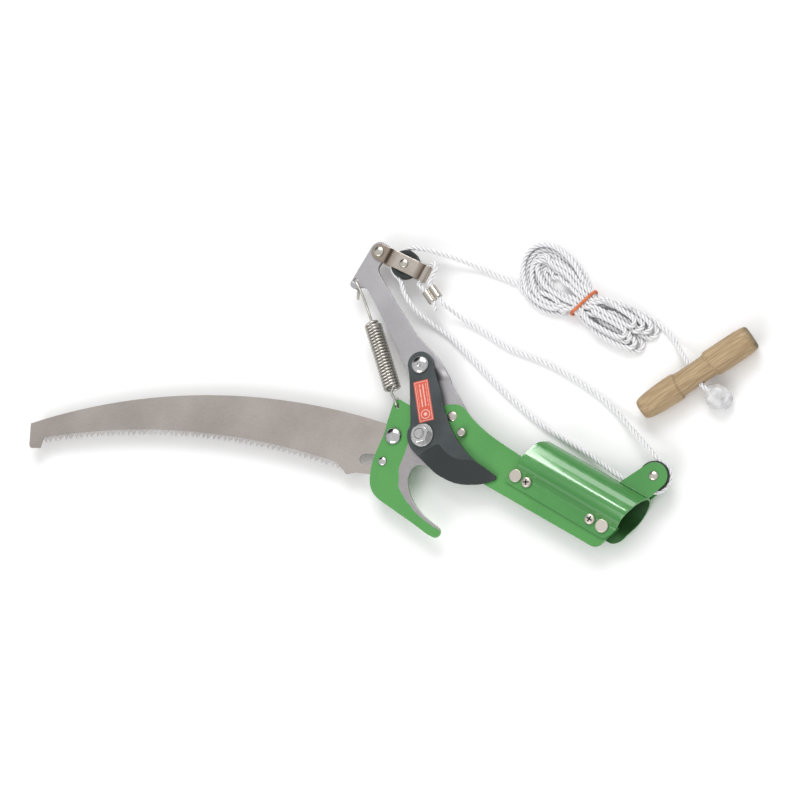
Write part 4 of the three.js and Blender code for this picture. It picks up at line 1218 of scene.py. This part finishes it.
def dome(name, head, height, shank, top, bottom, at, look, body, node, tail=0.0, tail_height=0.0, recess=0.0,
         lip=0.35):
    """A low domed head over a shank, with or without a formed tail and a round recess in the dome."""
    profile = [(0, bottom - tail_height)]
    if tail:
        profile += [(tail * 0.55, bottom - tail_height * 0.93), (tail * 0.85, bottom - tail_height * 0.6),
                    (tail, bottom - 0.25), (tail - 0.1, bottom), (shank, bottom)]
    else:
        profile += [(shank - 0.4, bottom), (shank, bottom + 0.4)]
    profile += [(shank, top), (head - 0.15, top), (head, top + 0.2), (head, top + lip)]
    steps = 9
    for k in range(1, steps + 1):
        a = math.pi / 2 * k / steps
        r, z = head * math.cos(a) * 0.985, top + lip + (height - lip) * math.sin(a)
        if recess and r < recess:
            break
        profile.append((r if k < steps else 0.0, z))
    if recess:
        rim = profile[-1][1]
        profile += [(recess, rim - 0.1), (recess * 0.8, rim - 1.0), (0, rim - 1.3)]
    done(lathe(name, profile, at, round_to=0.12), look, body, look, node)


def nut(name, across, hole, z0, z1, at, look, body, node, turn=0.3):
    done(hexagon(name, across, hole, z0, z1, at, turn), look, body, look, node)


def turned(name, profile, at, look, slot, node, body="head", **options):
    done(lathe(name, profile, at, **options), look, body, slot, node)


def bar(bm, at, turn, z, size):
    """Adds a square bar to the bmesh, one of the two that cross in a screw's recess."""
    made = bmesh.ops.create_cube(bm, size=1)["verts"]
    place = Matrix.Translation((*at, z)) @ Matrix.Rotation(turn, 4, "Z") @ Matrix.Diagonal((*size, 1))
    bmesh.ops.transform(bm, matrix=place, verts=made)


def clamp_screw(i, at, face):
    """A pan-head screw with a cross recess, and its nut behind the socket's flanges."""
    top = face + 0.1
    turns = (0.5 + i, 0.5 + i + math.pi / 2)
    ob = lathe(f"clamp_screw_{i + 1}_piece",
               [(0, -8.4), (1.6, -8.4), (2, -8.0), (2, top), (4.2, top), (4.3, top + 0.9), (3.8, top + 1.9),
                (2.6, top + 2.4), (0, top + 2.6)], at, round_to=0.5)
    for turn in turns:
        bm = bmesh.new()
        bar(bm, at, turn, top + 2.5, (4.8, 1.1, 2.2))
        cut_with(ob, bm)
    done(ob, "disc", "head", "zinc", f"clamp_screw_{i + 1}")
    # Dark bars at the bottom of the cross: painted shade in the recess.
    bm = bmesh.new()
    for turn in turns:
        bar(bm, at, turn, top + 1.35, (4.9, 1.15, 0.5))
    done(to_object(f"screw_recess_shade_{i + 1}", bm), "recess", "head", "zinc", f"clamp_screw_{i + 1}")
    nut(f"clamp_nut_{i + 1}_piece", 7, 2.0, -6.8, -face - 0.1, at, "zinc", "head", f"clamp_nut_{i + 1}",
        0.2 + i)


def fastenings():
    """Bolts, nuts, pins, rivets and screws of the head and the cutter."""
    under_saw = SAW_TOP - SAW - GAP
    dome("saw_bolt_piece", 7, 3.2, 3, FRONT + GAP, -10, SAW_BOLT, "chrome", "head", "saw_bolt", lip=0.4)
    nut("saw_nut_piece", 10, 2.9, -8.5, under_saw, SAW_BOLT, "zinc", "head", "saw_nut")
    dome("saw_pin_piece", 3.6, 1.6, 2.2, FRONT + GAP, under_saw, SAW_PIN, "chrome", "head", "saw_pin",
         tail=3.2, tail_height=1)
    pin = [(0, BACK + 0.2), (2.3, BACK + 0.2), (2.3, FRONT + 0.1)]
    turned("plate_rivet_piece",
           pin + [(4.1, FRONT + 0.1), (4.1, FRONT + 0.3), (3.3, FRONT + 0.75), (1.6, FRONT + 1.0),
                  (0, FRONT + 1.05)], PLATE_RIVET, "zinc", "zinc", "plate_rivet")
    turned("stop_pin_piece",
           pin + [(3.6, FRONT + 0.1), (3.6, BLADE_TOP - 0.4), (3.1, BLADE_TOP + 0.3), (1.6, BLADE_TOP + 0.55),
                  (0, BLADE_TOP + 0.6)], STOP_PIN, "zinc", "zinc", "stop_pin", round_to=0.5)
    face = FRONT + GAP + SHEET + 0.1
    for i, at in enumerate(SOCKET_RIVETS):
        turned(f"socket_rivet_{i + 1}_piece",
               [(0, -face - 1.5), (4.4, -face - 1.4), (5.1, -face - 0.9), (5.1, -face), (2.3, -face),
                (2.3, face), (5.15, face), (5.15, face + 1.5), (4.6, face + 1.9), (0, face + 2.0)],
               at, "disc", "zinc", f"socket_rivet_{i + 1}", round_to=0.45)
    for i, at in enumerate(CLAMP_SCREWS):
        clamp_screw(i, at, face)

    # Pivot: a bolt headed behind the lever, its threaded end standing in the nut.
    behind = LEVER_BACK - GAP
    nut("pivot_bolt_head", 13, None, behind - 5, behind, (0, 0), "chrome", "head", "pivot_bolt")
    thread = [(0, behind - 1), (3.9, behind - 1), (3.9, 6.6)]
    for k in range(16):
        thread += [(3.95, 6.8 + k * 0.5), (3.6, 7.05 + k * 0.5)]
    thread += [(3.6, 14.7), (3.2, 15.2), (0, 15.2)]
    turned("pivot_bolt_shank", thread, (0, 0), "chrome", "chrome", "pivot_bolt", round_to=0.06)
    turned("pivot_washer_piece", [(4.3, BLADE_TOP + 0.1), (9.2, BLADE_TOP + 0.1), (9.2, BLADE_TOP + 1.7),
                                  (4.3, BLADE_TOP + 1.7)],
           (0, 0), "chrome", "chrome", "pivot_washer", closed=True, n=64, round_to=0.3)
    nut("pivot_nut_piece", 13, 3.75, BLADE_TOP + 1.75, 13.8, (0, 0), "chrome", "head", "pivot_nut", NUT_TURN)
    dome("blade_bolt_piece", 7.2, 3.4, 3, BLADE_TOP + 0.1, -8, BLADE_BOLT, "chrome", "lever", "blade_bolt",
         recess=1.7, lip=0.9)
    nut("blade_nut_piece", 10, 2.9, -6.6, BACK - 0.1, BLADE_BOLT, "zinc", "lever", "blade_nut", 0.7)


# ------------------------------------------------------------------ socket and pulleys

def folded(name, path, across, to3, thickness, edge=0.3):
    """A folded sheet from its middle line: across(i) gives the stations across it at each point."""
    bm = bmesh.new()
    rows = [[bm.verts.new(to3(p, q, w)) for w in across(i)] for i, (p, q) in enumerate(path)]
    for a, b in zip(rows, rows[1:]):
        for k in range(len(a) - 1):
            bm.faces.new((a[k], a[k + 1], b[k + 1], b[k]))
    ob = to_object(name, bm, angle=70, weighted=False)
    m = ob.modifiers.new("sheet", "SOLIDIFY")
    m.thickness = thickness * MM
    m.offset = 0
    m.material_offset = 1
    m.material_offset_rim = 0
    m = ob.modifiers.new("edges", "BEVEL")
    m.width = edge * MM
    m.segments = 2
    m.limit_method = "ANGLE"
    m.angle_limit = math.radians(50)
    ob.modifiers.new("normals", "WEIGHTED_NORMAL").keep_sharp = True
    return ob


BEND_Y = 10.9        # where the front flange turns up into the barrel


def split_barrel(ob):
    """The barrel's front and the rest of the shell as two meshes, so that lights can tell them apart."""
    ob.data.materials.append(M["shell"])
    # The second slot, used on the sheet's inner side, is the enamel painted dark as painted shade.
    ob.data.materials.append(M["inner"])
    made = applied(ob)
    ob.modifiers.clear()
    ob.data = made
    rest = ob.copy()
    rest.data = made.copy()
    rest.name = "flange_piece"
    scene.collection.objects.link(rest)
    bend, middle = (PIVOT.y + BEND_Y) * MM, PIVOT.z * MM
    for part, is_barrel in ((ob, True), (rest, False)):
        bm = bmesh.new()
        bm.from_mesh(part.data)
        spots = [(f, f.calc_center_median()) for f in bm.faces]
        gone = [f for f, at in spots if (at.y > bend and at.z > middle) != is_barrel]
        bmesh.ops.delete(bm, geom=gone, context="FACES")
        bm.to_mesh(part.data)
        bm.free()
    return ob, rest


def socket():
    """The sheet folded round the pole, and the two ears welded on it for the lower pulley."""
    r = SOCKET_RADIUS - SHEET / 2
    flange = FRONT + GAP + SHEET / 2

    def side(at, soft):
        """Half of the section: a flat flange, a soft bend, then straight up to touch the round barrel."""
        bend = Vector((at, flange))
        reach = Vector((SOCKET_Y, 0)) - bend
        rise = math.atan2(reach.y, reach.x) + math.asin(r / reach.length)
        upper = bend + Vector((math.cos(rise), math.sin(rise))) * math.sqrt(reach.length_squared - r * r)
        front = fillet([(1.6, flange), tuple(bend), tuple(upper)], soft, 10)
        return [tuple(q) for q in even(front, 0.9)] + arc(SOCKET_Y, 0, r, 90 + math.degrees(rise), 0, 54)[1:]

    half = side(13.4, 5.5)
    path = half + [(y, -z) for y, z in reversed(side(10.5, 6.5)[:-1])]
    top = SOCKET_Y + SOCKET_RADIUS + 1

    def across(i):
        y = path[i][0]
        low = SOCKET_START + SLANT * y + max(0.0, 4 - (top - y) * 4 / 6)
        if i < len(half):
            corner = max(0.0, 1 - y / 8.0)
            high = min(SOCKET_END + SLANT * y, SOCKET_MOUTH) - 8 * (1 - math.sqrt(max(0.0, 1 - corner ** 2)))
        else:
            corner = min(1.0, max(0.0, (11 - y) / 10))
            high = SOCKET_MOUTH - 0.07 * max(0.0, 45 - y) - 10 * (1 - math.sqrt(1 - corner ** 2))
        start = max(0.0, 1 - (y - 1.6) / 2.5) if y < 4 else 0.0
        low += 1.2 * start ** 2
        n = 48
        return [low + (high - low) * k / n for k in range(n + 1)]

    ob = folded("socket_piece", path, across, lambda y, z, x: (x, y, z), SHEET)
    for part in split_barrel(ob):
        done(part, "shell", "head", "green_paint", "socket_shell")

    foot = SOCKET_Y + SOCKET_RADIUS + 0.05
    x, y = LOWER_PULLEY
    inner = PULLEY_WIDTH / 2 + GAP
    outline = [(158.6, foot - 1.2), (184.4, foot - 1.2)] + arc(x, y, 10.5, -15, 150, 40)
    ring = np.array(circle((0, 0), 0.55, 10))
    for name, z0, out in (("front", inner, 0.9), ("back", -inner - STRAP, -0.9)):
        bm = slab(outline, [circle(LOWER_PULLEY, RIVET_HOLE)], z0, z0 + STRAP)
        done(to_object(f"ear_{name}", bm), "shell", "head", "green_paint", f"pulley_ear_{name}")
        # Weld bead along the ear's foot.
        z = z0 + STRAP / 2 + out
        bead = [(159.6 + k * 0.8, foot - 0.1 + 0.1 * math.sin(k * 1.9), z) for k in range(31)]
        ob = sweep(f"weld_{name}", bead, lambda i: ring * (1 + 0.18 * math.sin(i * 2.4)))
        done(ob, "shell", "head", "green_paint", f"pulley_ear_{name}")


def pulley(name, at, body, node):
    """A nylon sheave with a round groove and a ring sunk in each face."""
    w, bore, r = PULLEY_WIDTH / 2, 2.5, 2.35
    groove = [(x, min(max(z, -1.6), 1.6)) for x, z in arc(PULLEY_ROOT + r, 0, r, 212, 148, 8)]
    profile = ([(bore, -w), (5.4, -w), (5.8, -w + 0.5), (8.2, -w + 0.5), (8.6, -w), (PULLEY_RADIUS, -w),
                (PULLEY_RADIUS, -w + 0.6)] + groove
               + [(PULLEY_RADIUS, w - 0.6), (PULLEY_RADIUS, w), (8.6, w), (8.2, w - 0.5), (5.8, w - 0.5),
                  (5.4, w), (bore, w)])
    turned(name, profile, at, "nylon", "black_nylon", node, body, n=72, round_to=0.2, closed=True)


def pulleys():
    """Both sheaves with their axles, and the rivet that the pulley bracket swings on."""
    pulley("upper_sheave_piece", UPPER_PULLEY, "upper_sheave", "upper_pulley")
    pulley("lower_sheave_piece", LOWER_PULLEY, "lower_sheave", "lower_pulley")
    face = PULLEY_WIDTH / 2 + GAP + STRAP + 0.05
    dome("lower_axle_piece", 3.7, 1.7, 2.4, face, -face, LOWER_PULLEY, "zinc", "head", "lower_pulley_axle",
         tail=3.7, tail_height=1.4, lip=0.3)
    dome("upper_axle_piece", 3.9, 1.7, 2.4, face, -face, UPPER_PULLEY, "zinc", "bracket",
         "upper_pulley_axle", tail=3.9, tail_height=1.4, lip=0.3)
    face = FRONT + GAP + STRAP + 0.05
    dome("bracket_rivet_piece", 4.6, 1.9, 2.3, face, -face, ARM_RIVET, "zinc", "bracket", "bracket_rivet",
         tail=4.2, tail_height=1.5, lip=0.3)


# ------------------------------------------------------------------ lever, blade and spring

def lever_arm():
    """The sheared steel lever, stepped down so that its lower end passes behind the head plate."""
    outline = (arc(*ARM_RIVET, 8.8, 20, 175, 26)
               + arc(SPRING_HOLE[0] + 0.3, SPRING_HOLE[1] - 2.6, 3.7, 180, 290, 14)
               + smooth([(-120, 75.2), (-116, 78.6), (-112, 80.2), (-108.6, 79.2)], 16)
               + [(-85.7, 65.9), (-57, 48.6), (-50.7, 43.6), (-38.5, 36.6), (-21, 16)]
               + arc(0, 0, 12.5, 150, 340, 30) + [(19, 26), (19, 34.2)]
               + smooth([(7.9, 40.4), (-2.1, 45.2), (-8.7, 50.8), (-20, 57.6), (-34.3, 62.6), (-41.5, 64.4),
                         (-50.8, 67)], 36) + [(-84.9, 83.4)]
               + smooth([(-106, 94.4), (-110, 97.4), (-111.4, 101), (-111, 105)], 16))
    holes = [circle((0, 0), PIVOT_HOLE), circle(BLADE_BOLT, BOLT_HOLE), circle(SPRING_HOLE, WIRE_HOLE),
             circle(ARM_RIVET, RIVET_HOLE + 0.1)]
    bm = slab(outline, holes, BACK, FRONT, 0.35)
    out = Vector((*BLADE_BOLT, 0)).normalized()
    cuts(bm, out, np.arange(42.6, 56.4, 0.6))
    right = Vector((out.y, -out.x, 0))
    drop, start, run = BACK - LEVER_BACK, 46.6, 4.4
    for v in bm.verts:
        # The step is short under the blade and runs out more gently beside it.
        beside = min(1.0, max(0.0, v.co.dot(right) / 7))
        t = min(1.0, max(0.0, (v.co.dot(out) - start + 2.6 * beside) / (run + 7 * beside)))
        v.co.z -= drop * (1 - t * t * (3 - 2 * t))
    # The sheared edges have a material of their own.
    for f in bm.faces:
        f.normal_update()
        f.material_index = 1 if abs(f.normal.z) < 0.6 else 0
    ob = done(to_object("lever_piece", bm), "lever", "lever", "lever_steel", "lever_arm")
    ob.data.materials.append(M["cut"])


def cutting_blade():
    """The coated bypass blade with its ground bevel, and the sticker on it."""
    edge = smooth([(5.2, -16), (13, -17.9), (23.4, -20.3), (31.6, -20.7), (41.4, -19.8), (49.5, -17.2),
                   (56.9, -13.4), (63.8, -8.8), (71.4, -0.6)], 70)
    back = smooth([(56.1, 3.1), (46.9, 4), (33.3, 8.3), (19.2, 15.2), (2.6, 28.2), (-7.8, 38.4),
                   (-17.6, 47.2)], 44)
    outline = (arc(BLADE_BOLT[0] - 0.6, BLADE_BOLT[1] + 0.4, 10.5, 38, 200, 28)
               + smooth([(-42, 42), (-38.6, 38.4), (-33.6, 32), (-22.8, 16), (-14, 2.6), (-13, -3.4),
                         (-9.2, -9.2), (-3.4, -13.4), (5.2, -16)], 60)
               + edge[1:] + [(70.4, 1.6)] + back)
    bm = slab(outline, [circle((0, 0), PIVOT_HOLE), circle(BLADE_BOLT, BOLT_HOLE)], BLADE_Z, BLADE_TOP)
    cuts(bm, (1, 0, 0), np.arange(2, 72, 1.0))
    cuts(bm, (0, 1, 0), np.arange(-22, 6, 1.0))
    # The ground bevel: how deep each point is in it, and how far from the cutting edge.
    line = smooth([(3.0, -17.5), (5.2, -15.8), (10.5, -6.0), (15.5, 0.2), (24, -2), (35.2, -2.2),
                   (47.5, 3.2)], 50)
    region = line + [(56.1, 3.6), (72, 3.6), (76, -4), (60, -24), (20, -26), (0, -20)]
    points = [(v.co.x, v.co.y) for v in bm.verts]
    depth = signed(points, region)
    to_edge = inside(points, edge + edge[::-1])[1]
    layer = bm.verts.layers.float.new("bevel")
    for v, d, e in zip(bm.verts, depth, to_edge):
        v[layer] = float(max(-2.0, min(2.0, d)))
        if d > 0 and v.co.z > BLADE_Z + 1.0:
            v.co.z -= 2.0 * d / (d + e + 1e-6) * (v.co.z - BLADE_Z) / PLATE
    done(to_object("cutting_blade_piece", bm, angle=20), "coating", "lever", "black_coating", "cutting_blade")

    # The sticker, its artwork laid out in millimetres from its middle.
    corners = fillet([(-17, -6.3), (17, -6.3), (17, 6.3), (-17, 6.3)], 0.9, 4, True)
    bm = slab(corners, [], 0.0, 0.14, 0.03, 1)
    uv = bm.loops.layers.uv.new("art")
    for f in bm.faces:
        for loop in f.loops:
            loop[uv].uv = (loop.vert.co.x, loop.vert.co.y)
    place = Matrix.Translation((-14.1, 23.9, BLADE_TOP + 0.02)) @ Matrix.Rotation(math.radians(-48.6), 4, "Z")
    done(to_object("label_piece", bm, place=place), "label", "lever", "red_label", "blade_label")


def return_spring():
    """One close-wound wire with a short hook through the plate's ear and a long one to the lever's."""
    foot, top = Vector((*COIL_FOOT, 0)), Vector((*COIL_TOP, 0))
    axis = (top - foot).normalized()
    side = axis.cross(Vector((0, 0, 1)))
    turns, r, thick = 22.5, 6.1, 2.3
    x, y = EAR_HOLE
    low = route([(x - 6.4, y + 5.6, -3.4), (x - 3.6, y + 3.2, -3.7), (x - 0.9, y + 0.8, -3.0), (x, y, 0),
                 (x - 0.8, y + 0.8, 2.9), (-37.6, 13.4, 4.2), (-42.6, 16.6, 5.6)], 0.45)
    coil = []
    n = int(turns * 26)
    for k in range(n + 1):
        a = 2 * math.pi * turns * k / n
        grow = min(1.0, 0.9 + k / n * 4)
        last = max(0.0, 1 - (n - k) / 16.0)
        c = foot + axis * (0.6 + 59.2 * k / n + 1.2 * last)
        coil.append(tuple(c + (Vector((0, 0, 1)) * math.cos(a) + side * math.sin(a)) * r * grow
                          * (1 - 0.8 * last ** 2)))
    x, y = SPRING_HOLE
    high = route([coil[-1], (-93.4, 59.6, 0.4), (-103, 67.4, 1.4), (-112, 74.6, 2.9), (x + 1, y - 0.4, 3.0),
                  (x - 0.4, y + 0.2, 0), (x + 0.8, y - 0.8, -3.0), (x + 4.4, y - 6, -3.4),
                  (x + 8.4, y - 12.4, -3.0)], 0.45)
    path = np.concatenate([low, np.array(coil[2:]), high[1:]])
    ob = wire("spring_piece", even(path, 0.5), thick, 10)
    done(ob, "spring", None, "spring_steel", "spring_coil", "spring_hook")
    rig.blend(ob, "spring_swing", "spring_stretch", *world([foot, top]))


# ------------------------------------------------------------------ pulley bracket

def bracket():
    """A strap folded back on itself round the pulley, with an eye for the rope at its outer end."""
    narrow, wide = FRONT + GAP + STRAP / 2, PULLEY_WIDTH / 2 + GAP + STRAP / 2
    legs = fillet([(-6.7, narrow), (8.8, narrow), (12.2, wide), (38.0, wide), (41.6, 1.0), (42.6, 1.5)],
                  1.2, 4)
    legs = [tuple(q) for q in even(legs[:-1], 0.45)]
    leg = legs + arc(EYE_REACH, 0, 3.2, 154, 0, 22)
    path = leg + [(u, -z) for u, z in reversed(leg[:-1])]

    def across(i):
        u = path[i][0]
        if u > 0:
            return [6.7 * k / 7 for k in range(-7, 8)]
        half = math.sqrt(max(6.7 ** 2 - u ** 2, 0.01))
        return [half * math.sin(math.pi / 2 * (k / 7)) for k in range(-7, 8)]

    c, s = math.cos(BRACKET_TURN), math.sin(BRACKET_TURN)

    def to3(u, z, w):
        return (ARM_RIVET[0] + u * c - w * s, ARM_RIVET[1] + u * s + w * c, z)

    ob = folded("bracket_piece", path, across, to3, 1.4)
    # How bright the plating is along the strap: darker and browner at its riveted end, and dark again in the folds as
    # painted shade.
    along = ob.data.attributes.new("along", "FLOAT", "POINT")
    spots = [0.45, 0.3, 0.05, 0.35, 0.95, 0.85, 0.9, 0.1, 0.8]
    marks = [-6, 7, 10.5, 13, 20, 30, 37, 41, 45]
    reach = Vector((c, s))
    for v, value in zip(ob.data.vertices, along.data):
        u = (v.co.xy / MM - PIVOT.xy - Vector(ARM_RIVET)).dot(reach)
        value.value = float(np.interp(u, marks, spots))
    done(ob, "nickel", "bracket", "nickel", "pulley_bracket")


head_plate()
saw_blade()
fastenings()
socket()
pulleys()
lever_arm()
cutting_blade()
return_spring()
bracket()


# ------------------------------------------------------------------ light and floor

# Two softboxes over the barrel: their reflections are a long wedge and a thin line down the crest.
WEDGE_TURN, WEDGE_SIZE, LINE_SIZE = math.radians(16.5), (0.4, 1.1), (0.17, 0.045)
SOFTBOX_HEIGHT = 0.42


def over_barrel(x, y, turn, size):
    """The middle of a light with one corner at a point above the pivot's plane."""
    corner = Vector((x, y, SOFTBOX_HEIGHT)) + PIVOT * MM
    return corner + Matrix.Rotation(turn, 3, "Z") @ Vector((-size[0] / 2, size[1] / 2, 0))


def area_light(name, at, size, power):
    light = bpy.data.lights.new(name, "AREA")
    light.shape = "RECTANGLE"
    light.size, light.size_y = size
    light.energy = power
    ob = bpy.data.objects.new(name, light)
    scene.collection.objects.link(ob)
    ob.location = at
    return ob


def surroundings():
    """Floor, sky and lights."""
    bm = bmesh.new()
    bmesh.ops.create_grid(bm, x_segments=1, y_segments=1, size=6)
    mesh = bpy.data.meshes.new("floor")
    bm.to_mesh(mesh)
    floor = bpy.data.objects.new("floor", mesh)
    scene.collection.objects.link(floor)
    floor.location = (0, 0, -0.0002)
    n = Surface("pale_floor")
    n.set(Base_Color=display((250, 250, 250)), Roughness=0.9)
    floor.data.materials.append(n.material)
    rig.stage(floor)

    world = bpy.data.worlds.new("studio")
    scene.world = world
    world.use_nodes = True
    n = Nodes(world.node_tree, "Generated")
    # A soft dome, bright above and dim towards the horizon, so that bright metal shows its shape, with a
    # dark doorway low on one side for the bright domes and the spring's wire to reflect.
    height = n.add("SeparateXYZ", Vector=n.place).outputs[2]
    facing = n.add("VectorMath")
    facing.operation = "DOT_PRODUCT"
    n.put(facing.inputs[0], n.place)
    n.put(facing.inputs[1], Vector((-0.83, 0.29, 0.475)).normalized())
    doorway = n.ramp(facing.outputs["Value"], 0.92, 0.955, 1.0, 0.05)
    background = world.node_tree.nodes["Background"]
    n.put(background.inputs["Color"], (1, 1, 1, 1))
    n.put(background.inputs["Strength"], n.times(n.ramp(height, 0.02, 0.75, 0.4, 0.85), doorway))

    for name, at, aim, size, power in (("key", (-0.55, 1.3, 1.5), (0.0, 0.06, 0), (1.3, 1.0), 17.0),
                                       ("fill", (0.3, -1.4, 1.3), (0.05, 0.03, 0), (1.4, 1.0), 11.0)):
        ob = area_light(name, at, size, power)
        ob.rotation_mode = "QUATERNION"
        ob.rotation_quaternion = (Vector(aim) - Vector(at)).to_track_quat("-Z", "Y")
    # These two only make highlights, and only on the barrel's front.
    for name, x, y, turn, size, power in (("wedge", 0.005, -0.05, WEDGE_TURN, WEDGE_SIZE, 19.0),
                                          ("line", 0.05, -0.055, 0.0, LINE_SIZE, 0.6)):
        ob = area_light(name, over_barrel(x, y, turn, size), size, power)
        ob.rotation_euler = (0, 0, turn)
        ob.visible_diffuse = False
        lit = bpy.data.collections.new("barrel_only_" + name)
        lit.objects.link(bpy.data.objects["socket_piece"])
        ob.light_linking.receiver_collection = lit
    scene.view_settings.view_transform = "Standard"


surroundings()
low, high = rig.bounds()
with open("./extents.json", "w") as f:
    json.dump({"cad": [list(CAD_LOW), list(CAD_HIGH)], "visual": [list(low), list(high)]}, f)
